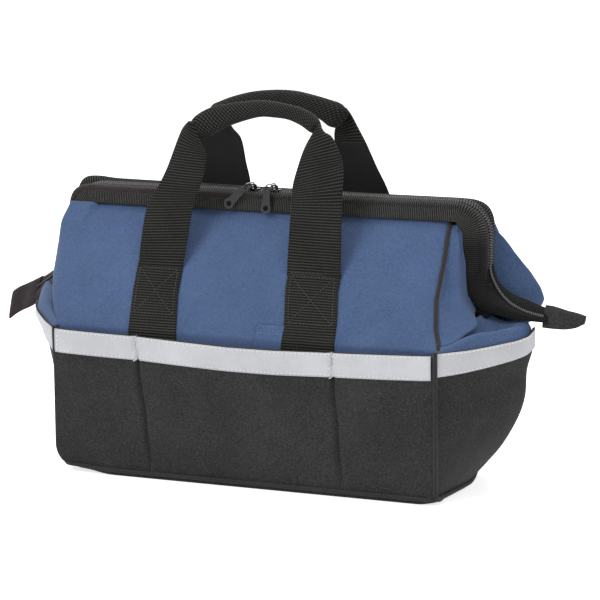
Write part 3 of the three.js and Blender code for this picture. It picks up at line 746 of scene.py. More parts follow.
@dataclass(frozen=True)
class DrawnSteel:
    """Plain drawn wire and rivet heads with fine scratches along them."""

    name: str = "drawn_steel"

    def material(self) -> bpy.types.Material:
        """Makes the material."""
        board = Board(self.name)
        solid = board.solid_places()
        scratch = board.bands(solid, 0.0004, "Z", 4.0)
        dull = board.speckle(solid, 160.0, 4.0)
        board.colour(
            board.sum([(scratch, 0.3), (dull, 0.7)]),
            [(0.3, "77777a"), (0.6, "a2a3a6"), (0.8, "b9babc")],
        )
        board.bump(scratch, 0.00004, 0.4)
        board.surface(0.34, 0.0, 1.0)
        return board.material


@dataclass(frozen=True)
class PressedBoard:
    """The dark stiffening board under the floor of the bag, with a pebbled face."""

    name: str = "pressed_board"

    def material(self) -> bpy.types.Material:
        """Makes the material."""
        board = Board(self.name)
        solid = board.solid_places()
        pebble = board.speckle(solid, 500.0, 2.0)
        rub = board.speckle(solid, 22.0, 4.0)
        board.colour(
            board.sum([(pebble, 0.5), (rub, 0.5)]), [(0.3, "1b1b1c"), (0.6, "2a2a2b"), (0.8, "38383a")]
        )
        board.bump(pebble, 0.0003, 0.6)
        board.surface(0.6)
        return board.material


@dataclass(frozen=True)
class Finishes:
    """Every finish of the bag, made once."""

    blue: bpy.types.Material
    black: bpy.types.Material
    webbing: bpy.types.Material
    lining: bpy.types.Material
    grip: bpy.types.Material
    binding: bpy.types.Material
    tape: bpy.types.Material
    piping: bpy.types.Material
    welting: bpy.types.Material
    pale: bpy.types.Material
    white_thread: bpy.types.Material
    dark_thread: bpy.types.Material
    blue_thread: bpy.types.Material
    enamel: bpy.types.Material
    steel: bpy.types.Material
    board: bpy.types.Material
    coil: bpy.types.Material

    @classmethod
    def make(cls) -> "Finishes":
        """Makes the whole set."""
        return cls(
            blue=WovenCloth("blue_canvas", "3c5075", "4a6086", "586f97").material(),
            black=WovenCloth("black_canvas", "191919", "2c2c2c", "454545", sheen=0.05).material(),
            webbing=RibbedWebbing("ribbed_webbing", "050504", "181816", "454541").material(),
            # The webbing's plain back, made very dark as painted shade where it faces the bag.
            lining=WovenCloth("webbing_back", "0a0a0a", "131313", "1d1d1d").material(),
            grip=RibbedWebbing(
                "herringbone_webbing", "050504", "171715", "474743", 0.0020, rib=Rib.HERRINGBONE
            ).material(),
            # The binding finish is drawn darker below 0.232 m as painted shade. This covers the mouth
            # frame's legs, the right tail and the hinge covers.
            binding=RibbedWebbing(
                "mouth_binding", "040404", "20201f", "62625e", 0.0019, 0.0007, shaded_below=0.232
            ).material(),
            tape=WovenCloth("zip_tape_cloth", "241d1e", "322a2b", "423939", 0.0007).material(),
            piping=WovenCloth("piping_cloth", "211b1a", "322a28", "43393a", 0.0008).material(),
            welting=WovenCloth("black_piping_cloth", "1c1c1c", "2b2b2b", "3c3c3c", 0.0008).material(),
            pale=PaleTape().material(),
            white_thread=Thread("white_thread", "e2e3e6", "f7f7f8").material(),
            dark_thread=Thread("dark_thread", "131312", "2b2b28").material(),
            blue_thread=Thread("blue_thread", "5f7aa6", "7f97bd").material(),
            enamel=Enamel().material(),
            steel=DrawnSteel().material(),
            board=PressedBoard().material(),
            # Dark plastic coil whose light grey stop stands in for glints on the teeth, a painted
            # highlight.
            coil=Thread("zip_coil_painted_glints", "1b1b1c", "7a7a7e").material(),
        )


class Slot(Enum):
    """The record's material slots, one given with each piece."""

    BLUE = "blue_cloth"
    BLACK = "black_cloth"
    WEBBING = "webbing"
    PALE = "reflective_tape"
    PIPING = "piping"
    BOARD = "board"
    METAL = "slider_metal"


@dataclass
class Assembly:
    """What every sub-assembly shares: its finishes, and the way that a piece joins the bag."""

    finishes: Finishes
    made: list[str] = field(default_factory=list)

    def place(
        self,
        obj: bpy.types.Object,
        body: str | tuple[str, str, Point, Point],
        slot: Slot,
        *nodes: str,
    ) -> bpy.types.Object:
        """Joins a piece to its body, or bakes its transform when a blend is given, and hides the nodes
        that it stands for.

        Args:
            obj: The piece.
            body: A body's name, or the two bodies and the two places of a blend.
            slot: Not used.
            *nodes: The CAD nodes that it replaces.

        Returns:
            The same piece.
        """
        if nodes:
            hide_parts(*nodes)
        if isinstance(body, str):
            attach(obj, body)
        else:
            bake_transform(obj)
        self.made.append(obj.name)
        return obj


@dataclass
class LowerBody(Assembly):
    """The black lower half: base, pockets, ends, pale band and piping. All sizes in millimetres."""

    length: float = 406.0
    depth: float = 180.0
    base_depth: float = 172.0
    height: float = 146.0
    nose_length: float = 67.0
    nose_start: float = 6.5
    nose_rise: float = 10.0
    pocket_gap: float = 7.5
    band_width: float = 23.8
    front_rim: tuple[tuple[float, float], ...] = (
        (-203.0, -1.4),
        (-113.0, -3.6),
        (-60.0, -5.6),
        (-10.0, -7.4),
        (40.0, -7.4),
        (97.0, -5.8),
        (150.0, -3.8),
        (203.0, -1.8),
    )
    rear_sag: float = 3.5
    bay_bulge: float = 3.4
    left_slack: float = 1.55
    seam_level: float = 70.0
    tack_level: float = 134.0
    pocket_thickness: float = 1.3
    band_thickness: float = 1.35
    end_band_thickness: float = 1.2
    wall_thickness: float = 1.6
    seam_thickness: float = 1.4
    # Radius of the thin dark cords drawn as painted shadow along the bands' top edges.
    shadow_line_radius: float = 0.55
    piping_radius: float = 2.2
    welt_radius: float = 1.9
    feet: tuple[tuple[int, int, float, float], ...] = (
        (-1, -1, 28.0, 2.0),
        (1, -1, 8.0, 0.0),
        (-1, 1, 20.0, 2.0),
        (1, 1, 37.0, 9.0),
    )
    right_rim: tuple[tuple[float, float], ...] = (
        (-90.0, 0.0),
        (-66.0, 1.2),
        (-45.0, 3.6),
        (-22.0, 6.4),
        (-9.0, 9.4),
        (-2.0, 14.0),
        (4.0, 17.0),
        (9.0, 14.0),
        (18.0, 8.5),
        (45.0, 5.2),
        (90.0, 0.0),
    )
    right_band: tuple[tuple[float, float], ...] = (
        (-90.0, 22.6),
        (-50.0, 20.6),
        (-20.0, 18.8),
        (4.0, 18.0),
        (40.0, 20.0),
        (90.0, 22.6),
    )
    seams: tuple[tuple[float, float], ...] = ((-113.0, -95.0), (97.0, 109.0))

    def half_depth(self, z: Array | float) -> Array | float:
        """Half the bag's depth at a height."""
        share = np.clip(z / self.height, 0, 1)
        return (self.base_depth + (self.depth - self.base_depth) * share) / 2

    def rise(self, y: Array | float, end: End) -> Array | float:
        """How far the end's rim rises over the long sides' rim."""
        if end is End.LEFT:
            return self.nose_rise * (1 - np.minimum(np.abs(y) / (self.depth / 2), 1) ** 1.2)
        return along(self.right_rim, y)

    def end_x(self, y: Array | float, z: Array | float, end: End) -> Array | float:
        """How far out the end's cloth is; the left end hangs slack under its rim."""
        share = np.clip((z - self.nose_start) / (self.height - self.nose_start), 0, 1)
        curve = share**self.left_slack if end is End.LEFT else 1 - (1 - share) ** 2.15
        nose = self.nose_length * curve
        if end is End.RIGHT:
            nose = nose - 5.6 * np.exp(-(((z - 121.0) / 19.0) ** 2))
        across = np.clip(np.abs(y) / self.half_depth(z), 0, 1)
        return self.length / 2 + nose * (1 - across**1.35)

    def soften(self, points: Array) -> Array:
        """Rounds the feet of the four corners, the front left one most.

        Args:
            points: Points of the lower body.

        Returns:
            The points, drawn in near the corners' feet.
        """
        moved = points.copy()
        for sign_x, sign_y, radius, lift in self.feet:
            up = np.clip((radius - points[..., 2]) / radius, 0, 1)
            arc = 1 - np.sqrt(np.maximum(1 - up**2, 0.0))
            near_x = smooth(1 - (self.length / 2 - sign_x * points[..., 0]) / (2.4 * radius))
            near_y = smooth(1 - (self.base_depth / 2 - sign_y * points[..., 1]) / (2.4 * radius))
            pull = radius * arc * near_x * near_y
            moved[..., 0] -= sign_x * pull * 0.8
            moved[..., 1] -= sign_y * pull * 0.4
            moved[..., 2] += lift * up * near_x * near_y
        return moved

    def rim_z(self, x: Array | float, side: Side) -> Array | float:
        """The height of the pockets' rim, which sags between the ends."""
        if side is Side.FRONT:
            return self.height + along(self.front_rim, x)
        across = np.cos(np.clip(x / self.length, -0.5, 0.5) * math.pi)
        return self.height - 0.5 - self.rear_sag * across

    def seam_x(self, number: int, z: Array | float, side: Side) -> Array | float:
        """Where a pocket seam is at a height."""
        top, foot = self.seams[number]
        x = foot + (top - foot) * np.clip(z / self.height, 0, 1)
        return x if side is Side.FRONT else -x

    def wall_y(self, x: Array, z: Array, side: Side, stand_off: float = 0.0) -> Array:
        """Where the outer pocket cloth is.

        Args:
            x: Places along the bag.
            z: Heights.
            side: Which long side.
            stand_off: How far outside the cloth.

        Returns:
            The y of each place, with the pockets' fullness, seams and soft folds.
        """
        half = self.length / 2
        edges = [self.seam_x(0, z, side), self.seam_x(1, z, side)]
        low, high = (edges[0], edges[1]) if side is Side.FRONT else (edges[1], edges[0])
        bays = ((-half, low), (low, high), (high, half))
        full = np.zeros(np.broadcast(x, z).shape)
        for start, stop in bays:
            t = np.clip((x - start) / (stop - start), 0, 1)
            full = np.maximum(full, np.sin(math.pi * t) ** 0.7)
        share = z / self.height
        shape = smooth(share * 3.2) * (1 - 0.45 * smooth((share - 0.55) * 2.2))
        out = self.bay_bulge * full * shape
        for edge in edges:
            near = x - edge - 0.7 * np.sin(z / 9.0) * (z < self.height)
            out = out - 4.4 * np.exp(-((near / 1.5) ** 2)) * smooth(share * 5)
            pucker = 0.3 * np.sin(z / 1.9 + np.sin(z / 13.0)) * np.exp(-((near / 5.0) ** 2))
            out = out + (0.7 * np.exp(-(((near + 4.5) / 3.0) ** 2)) + pucker) * smooth(share * 5)
        out = out + 0.9 * wander(x, z, 210.0, 1.3 + side.value) * smooth(share * 2.5)
        for bend in self.pocket_folds(side):
            out = out + bend.lift(x, z)
        out = out * smooth((half - np.abs(x)) / 14.0)
        return side.value * (self.half_depth(z) + out + stand_off)

    def pocket_folds(self, side: Side) -> tuple[Fold, ...]:
        """The pockets' soft folds."""
        turn = 1 if side is Side.FRONT else -1
        return (
            Fold((-188 * turn, 118), (-150 * turn, 40), 13, 1.2),
            Fold((-150 * turn, 100), (-118 * turn, 18), 9, -0.9),
            Fold((-84 * turn, 112), (-60 * turn, 20), 15, 1.1),
            Fold((-10 * turn, 110), (22 * turn, 30), 18, -1.0),
            Fold((60 * turn, 108), (88 * turn, 26), 11, 1.1),
            Fold((116 * turn, 112), (140 * turn, 22), 10, 1.0),
            Fold((168 * turn, 104), (186 * turn, 18), 9, -1.0),
        )

    def columns(self, side: Side) -> Array:
        """Shares along the bag, closer together at the pocket seams."""
        half = self.length / 2
        seams = [self.seam_x(number, self.seam_level, side) for number in (0, 1)]
        stops = sorted([-half, *seams, half])
        parts = []
        for start, stop in zip(stops, stops[1:]):
            count = 26 if stop - start < 150 else 46
            ease = (1 - np.cos(np.linspace(0, math.pi, count, endpoint=False))) / 2
            even = np.linspace(0, 1, count, endpoint=False)
            parts.append(start + (stop - start) * (0.6 * ease + 0.4 * even))
        return np.append(np.concatenate(parts), half)

    def build_side(self, side: Side) -> None:
        """Makes a long side's pockets, band, inner wall and pocket seams.

        Args:
            side: Which long side.
        """
        word = side.word
        x = self.columns(side)
        order = x if side is Side.FRONT else x[::-1]
        s = np.linspace(0, 1, 44)[:, None]
        grid_x = np.broadcast_to(order, (44, len(order)))
        rim = self.rim_z(grid_x, side)
        grid_z = 3.2 + s * (rim - 3.6)
        for number in (0, 1):
            seam = self.seam_x(number, self.seam_level, side)
            shift = self.seam_x(number, grid_z, side) - seam
            grid_x = grid_x + shift * smooth(1 - np.abs(grid_x - seam) / 60)
        y = self.wall_y(grid_x, grid_z, side)
        grid = self.soften(np.stack([grid_x, y, grid_z], axis=2))
        cloth = Cloth().shell(grid, self.pocket_thickness)
        piece = cloth.piece(f"{word}_pocket_cloth", self.finishes.black)
        self.place(piece, "bag_body", Slot.BLACK, f"{word}_pocket_layer")
        self.build_band(side)
        self.build_wall(side)

    def build_band(self, side: Side) -> None:
        """Makes a long side's pale band with its stitches and bar tacks.

        Args:
            side: Which long side.
        """
        word = side.word
        x = np.linspace(-200.6, 200.6, 150) * -side.value
        s = np.linspace(0, 1, 14)[:, None]
        grid_x = np.broadcast_to(x, (14, len(x)))
        rim = self.rim_z(grid_x, side)
        grid_z = rim - self.band_width * (1 - s) + 0.4
        edge = np.minimum(s, 1 - s) * self.band_width
        thick = 1.5 - 0.55 * np.exp(-((edge - 1.9) ** 2) / 0.9) - 0.5 * (edge < 0.5)
        y = self.wall_y(grid_x, grid_z, side) + side.value * thick
        band = Cloth().shell(np.stack([grid_x, y, grid_z], axis=2), self.band_thickness)
        piece = band.piece(f"{word}_band_tape", self.finishes.pale)
        self.place(piece, "bag_body", Slot.PALE, f"{word}_stripe")
        # Painted shadow: a thin dark cord along the band's top edge stands in for the shade at the
        # pocket mouth.
        edge_z = self.rim_z(x, side) + 0.6
        edge_y = self.wall_y(x, edge_z, side) + side.value * 0.6
        shadow_line = Cloth().cord(np.stack([x, edge_y, edge_z], axis=1), self.shadow_line_radius, 8)
        piece = shadow_line.piece(f"{word}_band_edging", self.finishes.piping)
        self.place(piece, "bag_body", Slot.PIPING)
        thread = Cloth()
        for inset in (2.0, self.band_width - 2.0):
            line_z = self.rim_z(x, side) - inset + 0.4
            line_y = self.wall_y(x, line_z, side) + side.value * 1.25
            BAND_STITCH.add(thread, np.stack([x, line_y, line_z], axis=1)[2:-2])
        for end_x in (-198.0,) if side is Side.FRONT else (198.0,):
            line_z = np.linspace(2, self.band_width - 2, 12) + self.rim_z(end_x, side) - 24.6
            line_y = self.wall_y(np.full(12, end_x), line_z, side) + side.value * 1.3
            BAND_STITCH.add(thread, np.stack([np.full(12, end_x), line_y, line_z], axis=1))
        for number in (0, 1):
            z = np.linspace(-1.0, self.band_width + 1.5, 60)
            line_x = self.seam_x(number, self.tack_level, side) + 1.3 * np.sin(z * 1.35)
            line_z = z + self.rim_z(line_x, side) - self.band_width
            line_y = self.wall_y(line_x, line_z, side) + side.value * 1.7
            TACK_STITCH.add(thread, np.stack([line_x, line_y, line_z], axis=1))
        piece = thread.piece(f"{word}_band_stitches", self.finishes.white_thread)
        self.place(piece, "bag_body", Slot.PALE)
        dark = Cloth()
        for number in (0, 1):
            top = self.rim_z(self.seam_x(number, self.tack_level, side), side) - 25.5
            z = np.linspace(8.0, top, 90)
            x = self.seam_x(number, z, side) + 0.7 * np.sin(z / 9.0)
            y = self.wall_y(x, z, side, 0.25)
            SEAM_STITCH.add(dark, np.stack([x, y, z], axis=1))
        piece = dark.piece(f"{word}_seam_stitches", self.finishes.dark_thread)
        self.place(piece, "bag_body", Slot.BLACK)

    def build_wall(self, side: Side) -> None:
        """Makes the inner wall and the two seams that part the pockets.

        Args:
            side: Which long side.
        """
        word = side.word
        inside = self.pocket_gap + 1.5
        x = np.linspace(-199.5, 199.5, 90) * -side.value
        z = np.linspace(6.4, self.height - 13.0, 30)
        grid_x, grid_z = np.meshgrid(x, z)
        belly = 0.8 * wander(grid_x, grid_z, 160.0, 2.2)
        y = side.value * (self.half_depth(grid_z) - inside + belly)
        grid = self.soften(np.stack([grid_x, y, grid_z], axis=2))
        wall = Cloth().shell(grid, self.wall_thickness)
        piece = wall.piece(f"{word}_inner_cloth", self.finishes.black)
        self.place(piece, "bag_body", Slot.BLACK, f"{word}_lower_wall")
        for number in (0, 1):
            z = np.linspace(7.0, 138.0, 40)
            out = np.linspace(0, 1, 5)
            grid_z, grid_o = np.meshgrid(z, out, indexing="ij")
            line_x = self.seam_x(number, grid_z, side) + 0.4 * np.sin(grid_z / 7)
            outer = self.wall_y(line_x, grid_z, side, -1.2)
            inner = side.value * (self.half_depth(grid_z) - inside + 0.6)
            y = inner + (outer - inner) * grid_o
            seam = Cloth().shell(np.stack([line_x, y, grid_z], axis=2), self.seam_thickness)
            name = f"{word}_pocket_seam_{number + 1}"
            piece = seam.piece(name, self.finishes.black)
            self.place(piece, "bag_body", Slot.BLACK, f"{word}_pocket_divider_{number + 1}")

    def end_grid(self, end: End, low: Array, high: Array, out: float, rows: int) -> Array:
        """Gives a grid over an end's cloth.

        Args:
            end: Which end.
            low: The lower height at each of the columns.
            high: The upper height at each of them.
            out: How far outside the cloth.
            rows: How many rows.

        Returns:
            The grid, whose normals face out.
        """
        t = np.linspace(-1, 1, len(low)) * end.value
        s = np.linspace(0, 1, rows)[:, None]
        z = low[None, :] + (high - low)[None, :] * s
        y = t[None, :] * (self.half_depth(z) - 1.2)
        share = np.clip(z / self.height, 0, 1)
        soft = 1.2 * wander(y, z, 95.0, 3.1 + end.value) * smooth((1 - np.abs(t)) * 5)
        soft = soft + Fold((-52, 26), (-30, 118), 9, -1.1).lift(y, z)
        soft = soft + Fold((8, 20), (2, 108), 15, 1.0).lift(y, z)
        soft = soft + Fold((46, 24), (34, 104), 8, -1.0).lift(y, z)
        x = end.value * (self.end_x(y, z, end) + out + soft * smooth(share * 4))
        return self.soften(np.stack([x, y, z], axis=2))

    def build_end(self, end: End) -> None:
        """Makes an end's cloth and its pale band.

        Args:
            end: Which end.
        """
        word = end.word
        t = np.linspace(-1, 1, 60)
        top = self.height + self.rise(t * end.value * self.depth / 2, end)
        low = np.full(60, 4.0)
        cloth = Cloth().shell(self.end_grid(end, low, top, 0.0, 46), self.wall_thickness)
        piece = cloth.piece(f"{word}_end_cloth", self.finishes.black)
        self.place(piece, "bag_body", Slot.BLACK, f"{word}_end_panel")
        t = np.linspace(-1, 1, 80)
        y = t * end.value * self.depth / 2
        top = self.height + self.rise(y, end) + 0.5
        width = along(self.right_band, y) if end is End.RIGHT else np.full(80, self.band_width)
        grid = self.end_grid(end, top - width, top, 1.3, 10)
        band = Cloth().shell(grid, self.end_band_thickness)
        piece = band.piece(f"{word}_band_tape", self.finishes.pale)
        self.place(piece, "bag_body", Slot.PALE, f"{word}_stripe")
        # Painted shadow: a thin dark cord along the end band's top edge, as on the long sides.
        edge = self.end_grid(end, top, top + 0.3, 0.6, 2)[0]
        shadow_line = Cloth().cord(edge, self.shadow_line_radius, 8)
        piece = shadow_line.piece(f"{word}_band_edging", self.finishes.piping)
        self.place(piece, "bag_body", Slot.PIPING)
        thread = Cloth()
        fine = self.end_grid(end, top - width, top, 1.5, 26)
        for row in (2, 23):
            BAND_STITCH.add(thread, fine[row, 2:-2])
        piece = thread.piece(f"{word}_band_stitches", self.finishes.white_thread)
        self.place(piece, "bag_body", Slot.PALE)

    def build_base(self) -> None:
        """Makes the base cloth with its turned-up edge, and the welt round it."""
        half_x = self.length / 2 + 0.8
        half_y = self.base_depth / 2 + 0.6
        radius = 12.0
        corner = np.linspace(0, math.pi / 2, 9)
        outline: list[tuple[float, float]] = []
        for quarter, (sx, sy) in enumerate(((1, 1), (-1, 1), (-1, -1), (1, -1))):
            for angle in corner + quarter * math.pi / 2:
                x = sx * (half_x - radius) + radius * math.cos(angle)
                outline.append((x, sy * (half_y - radius) + radius * math.sin(angle)))
            nx, ny = ((-1, 1), (-1, -1), (1, -1), (1, 1))[quarter]
            last = np.array(outline[-1])
            angle = (quarter + 1) * math.pi / 2
            target = np.array(
                [
                    nx * (half_x - radius) + radius * math.cos(angle),
                    ny * (half_y - radius) + radius * math.sin(angle),
                ]
            )
            for share in np.linspace(0, 1, 40)[1:-1]:
                outline.append(tuple(last + (target - last) * share))
        edge = np.array(outline)
        rings = []
        levels = ((0.0, 0.0), (0.0, 0.6), (0.0, 0.93), (0.35, 0.975), (1.6, 0.992), (4.6, 1.0))
        for z, share in levels + ((4.9, 0.99), (2.6, 0.97), (2.2, 0.93), (2.2, 0.5), (2.2, 0.0)):
            inset = (1 - share) * np.array([half_x, half_y])
            scale = np.maximum(1 - inset / np.array([half_x, half_y]), 0.004)
            ring = np.column_stack([edge * scale, np.full(len(edge), z)])
            rings.append(ring)
        tray = Cloth().loft(self.soften(np.array(rings)))
        piece = tray.piece("base_cloth", self.finishes.black)
        self.place(piece, "bag_body", Slot.BLACK, "base_panel")
        levels = ((2.4, 0.01), (2.4, 0.9), (2.5, 0.965), (4.7, 0.965), (4.8, 0.9), (4.8, 0.01))
        rings = [np.column_stack([edge * share, np.full(len(edge), z)]) for z, share in levels]
        board = Cloth().loft(self.soften(np.array(rings)))
        piece = board.piece("base_stiffener", self.finishes.board)
        self.place(piece, "bag_body", Slot.BOARD, "base_board")
        path = np.column_stack([edge, np.full(len(edge), 6.0)])
        path[:, 0] += np.sign(path[:, 0]) * smooth((np.abs(path[:, 0]) - 180) / 20) * 1.6
        path[:, 1] += np.sign(path[:, 1]) * smooth((np.abs(path[:, 1]) - 66) / 20) * 1.4
        path = self.soften(path)
        welt = Cloth().cord(path, self.welt_radius, 10, closed=True)
        piece = welt.piece("base_cord", self.finishes.welting)
        self.place(piece, "bag_body", Slot.PIPING, "base_welt")

    def build_corner(self, side: Side, end: End) -> None:
        """Makes one corner's piping, which turns under at its foot.

        Args:
            side: Which long side.
            end: Which end.
        """
        sx, sy = end.value, side.value
        shift = {(1, -1): 2.2, (-1, -1): -3.4}.get((sx, sy), 0.2)
        x = self.length / 2 - 0.6 + shift
        inset = 2.2 if shift < 0 else 0.2
        points = [
            (sx * x, sy * (self.half_depth(z) - inset), z)
            for z in (self.height + 2, 128, 100, 70, 40, 22, 13)
        ]
        if sy < 0:
            points.append((sx * (x + 0.8), sy * (self.half_depth(0) - 1.8), 8.0))
            points.append((sx * (x + 1.4), sy * (self.half_depth(0) - 7.0), 5.4))
            points.append((sx * (x + 0.6), sy * (self.half_depth(0) - 17.0), 6.0))
        path = self.soften(curve_through(points, 70))
        cord = Cloth().cord(path, self.piping_radius, 10)
        name = f"{side.word}_{end.word}_corner_cord"
        piece = cord.piece(name, self.finishes.welting)
        self.place(piece, "bag_body", Slot.PIPING, f"{side.word}_{end.word}_corner_piping")

    def build(self) -> None:
        """Makes the whole lower half."""
        for side in Side:
            self.build_side(side)
        for end in End:
            self.build_end(end)
        self.build_base()
        for side in Side:
            for end in End:
                self.build_corner(side, end)


def dress(node: bpy.types.Object, finish: bpy.types.Material) -> None:
    """Gives a carried-over CAD node its finish."""
    node.data.materials.clear()
    node.data.materials.append(finish)


@dataclass
class UpperPanels(Assembly):
    """The blue sloping panels, their piping, the straps sewn on them and the side tab."""

    foot_y: float = 81.0
    foot_z: float = 147.0
    top_y: float = 12.5
    top_z: float = 262.7
    crown: float = 3.0
    strap_width: float = 51.0
    strap_thickness: float = 2.3
    cloth_thickness: float = 1.5
    piping_radius: float = 2.0
    top_share: float = 1.03
    corner_drop: float = 0.034
    corner_start: float = 0.916
    corner_reach: float = 0.012
    free_edge: tuple[tuple[float, float], ...] = (
        (0.0, 203.5),
        (0.06, 201.0),
        (0.18, 195.0),
        (0.39, 189.5),
        (0.67, 189.5),
        (1.0, 186.5),
    )
    full_edge: tuple[tuple[float, float], ...] = (
        (0.0, 205.0),
        (0.1, 213.0),
        (0.2, 219.0),
        (0.31, 223.5),
        (0.43, 226.8),
        (0.65, 229.2),
        (0.83, 227.0),
        (0.93, 224.0),
        (1.0, 221.5),
    )
    left_strap: tuple[tuple[float, float, float], ...] = (
        (0.0, -122.5, -70.5),
        (0.3, -126.5, -77.0),
        (0.55, -128.5, -79.0),
        (0.7, -127.0, -77.0),
    )
    right_strap: tuple[tuple[float, float, float], ...] = (
        (0.0, 43.0, 98.0),
        (0.15, 42.0, 97.0),
        (0.4, 36.5, 91.0),
        (0.7, 34.5, 90.5),
    )

    def edge_x(self, side: Side, end: End, t: Array | float) -> Array | float:
        """Where the panel's side edge is, from its foot at 0 to the mouth at 1."""
        full = side.value == end.value
        return end.value * along(self.full_edge if full else self.free_edge, t)

    def folds(self, side: Side) -> tuple[Fold, ...]:
        """The panel's soft folds, over x and the share up the panel times 100."""
        if side is Side.REAR:
            return (
                Fold((-120, 90), (-150, 20), 14, 1.6),
                Fold((-20, 96), (-6, 10), 20, -1.6),
                Fold((128, 8), (160, 56), 12, 1.6),
                Fold((60, 94), (40, 30), 12, 1.2),
            )
        return (
            Fold((-205, 96), (-150, 30), 12, 1.4),
            Fold((-160, 60), (-134, 2), 8, -2.2),
            Fold((-66, 2), (-52, 30), 7, 1.8),
            Fold((-60, 96), (-40, 52), 14, 1.3),
            Fold((-14, 4), (-24, 60), 22, 1.4),
            Fold((8, 97), (-6, 60), 12, -1.2),
            Fold((100, 4), (112, 46), 8, 2.0),
            Fold((118, 3), (150, 26), 8, -1.7),
            Fold((182, 3), (150, 44), 11, 1.8),
            Fold((128, 97), (140, 66), 10, 1.4),
            Fold((166, 98), (158, 58), 9, -1.3),
        )

    def at(self, side: Side, x: Array, t: Array, out: Array | float = 0.0) -> Array:
        """Places points on a panel.

        Args:
            side: Which long side.
            x: Places along the bag.
            t: Shares up the panel, where a little below 0 is behind the pale band.
            out: How far outside the cloth.

        Returns:
            The points.
        """
        slope = np.array([self.foot_y - self.top_y, self.top_z - self.foot_z])
        length = float(np.hypot(*slope))
        normal_y, normal_z = slope[1] / length, slope[0] / length
        low = self.edge_x(side, End.LEFT, t)
        high = self.edge_x(side, End.RIGHT, t)
        across = np.clip((x - low) / (high - low), 0, 1)
        swell = self.crown * 4 * across * (1 - across) * np.sin(math.pi * np.clip(t, 0, 1))
        lift = 1.1 * wander(x, t * 134, 150.0, 0.7 + side.value) * smooth(t * 3)
        for bend in self.folds(side):
            lift = lift + bend.lift(x, t * 100)
        lift = lift * smooth((1 - t) * 12 + 0.25)
        reach = np.minimum(x - low, high - x)
        turn = 7.0 * (1 - np.clip(reach / 13.0, 0, 1)) ** 2
        full = (x - low < high - x) == (side is Side.FRONT)
        near_leg = full * smooth((30.0 - reach) / 4.0)
        high_up = smooth((t - 0.62) / 0.25)
        roll = np.where(full, turn * (1 - high_up), turn * 0.45)
        down = np.clip(t, 0, None)
        y = self.foot_y - slope[0] * down
        z = self.foot_z + slope[1] * t
        y = y + np.where(t < 0, 6.0 * np.clip(-t, 0, 0.08), 0.0)
        tuck = 2.8 * smooth((t - 0.88) / 0.11) * (1 - near_leg) - 3.0 * near_leg * high_up
        depth = swell + lift - roll * smooth(t * 9 + 0.2) + out - tuck
        y = y + depth * normal_y
        z = z + depth * normal_z * smooth(t * 8)
        return np.stack(np.broadcast_arrays(x, side.value * y, z), axis=-1)

    def build_panel(self, side: Side) -> None:
        """Makes a panel's cloth and its two side pipings.

        Args:
            side: Which long side.
        """
        word = side.word
        rows, columns = 64, 150
        even = np.linspace(0, 1, columns)[None, :]
        share = even if side is Side.FRONT else 1 - even
        near_corner = smooth((1 - even - self.corner_start) / self.corner_reach)
        top = self.top_share - self.corner_drop * near_corner
        t = -0.11 + (top + 0.11) * np.linspace(0, 1, rows)[:, None]
        low = self.edge_x(side, End.LEFT, t)
        high = self.edge_x(side, End.RIGHT, t)
        x = low + (high - low) * share
        grid = self.at(side, x, np.broadcast_to(t, x.shape))
        cloth = Cloth().shell(grid, self.cloth_thickness)
        piece = cloth.piece(f"{word}_upper_cloth", self.finishes.blue)
        self.place(piece, f"{word}_panel", Slot.BLUE, f"{word}_upper_panel")
        for end in End:
            t = np.linspace(-0.11, 1.0 if side.value != end.value else 0.7, 70)
            x = self.edge_x(side, end, t) + end.value * 0.8
            path = self.at(side, x, t, -0.4)
            if side.value == end.value:
                path[:, 1] += 3.0
                path[:, 0] -= end.value * 2.0
            cord = Cloth().cord(path, self.piping_radius, 10)
            name = f"{word}_{end.word}_upper_cord"
            piece = cord.piece(name, self.finishes.piping)
            self.place(piece, f"{word}_panel", Slot.PIPING, f"{word}_{end.word}_upper_piping")

    def strap_edges(self, side: Side, end: End, t: Array) -> tuple[Array, Array]:
        """Gives the two side edges of a sewn strap.

        Args:
            side: Which long side.
            end: Which of its two straps, as seen from the front.
            t: Shares up the panel.

        Returns:
            The x of the lower and of the higher edge.
        """
        if side is Side.FRONT:
            rows = self.left_strap if end is End.LEFT else self.right_strap
            low = along([(r[0], r[1]) for r in rows], t)
            high = along([(r[0], r[2]) for r in rows], t)
            return low, high
        middle = 96.0 if end is End.RIGHT else -73.0
        return np.full_like(t, middle - 25.5), np.full_like(t, middle + 25.5)

    def build_strap(self, side: Side, end: End) -> None:
        """Makes the part of a strap that is sewn down, with its box of stitches.

        Args:
            side: Which long side.
            end: Which of its two straps, as seen from the front.
        """
        t = np.linspace(-0.09, 0.53, 62)
        low, high = self.strap_edges(side, end, t)
        count = 25
        share = np.linspace(0, 1, count)[None, :]
        share = share if side is Side.FRONT else 1 - share
        x = low[:, None] + (high - low)[:, None] * share
        edge = np.minimum(share, 1 - share) * self.strap_width
        curl = 0.5 * np.exp(-((edge / 1.6) ** 2))
        grid = self.at(side, x, np.broadcast_to(t[:, None], x.shape), self.strap_thickness - curl)
        strap = Cloth().shell(grid, self.strap_thickness - 0.1)
        name = f"{side.word}_{end.word}_sewn_strap"
        piece = strap.piece(name, self.finishes.webbing)
        node = f"{side.word}_{end.word}_strap_end"
        self.place(piece, f"{side.word}_panel", Slot.WEBBING, node)
        thread = Cloth()
        for line in self.box_lines(side, end):
            BOX_STITCH.add(thread, line)
        piece = thread.piece(f"{name}_stitches", self.finishes.dark_thread)
        self.place(piece, f"{side.word}_panel", Slot.WEBBING)

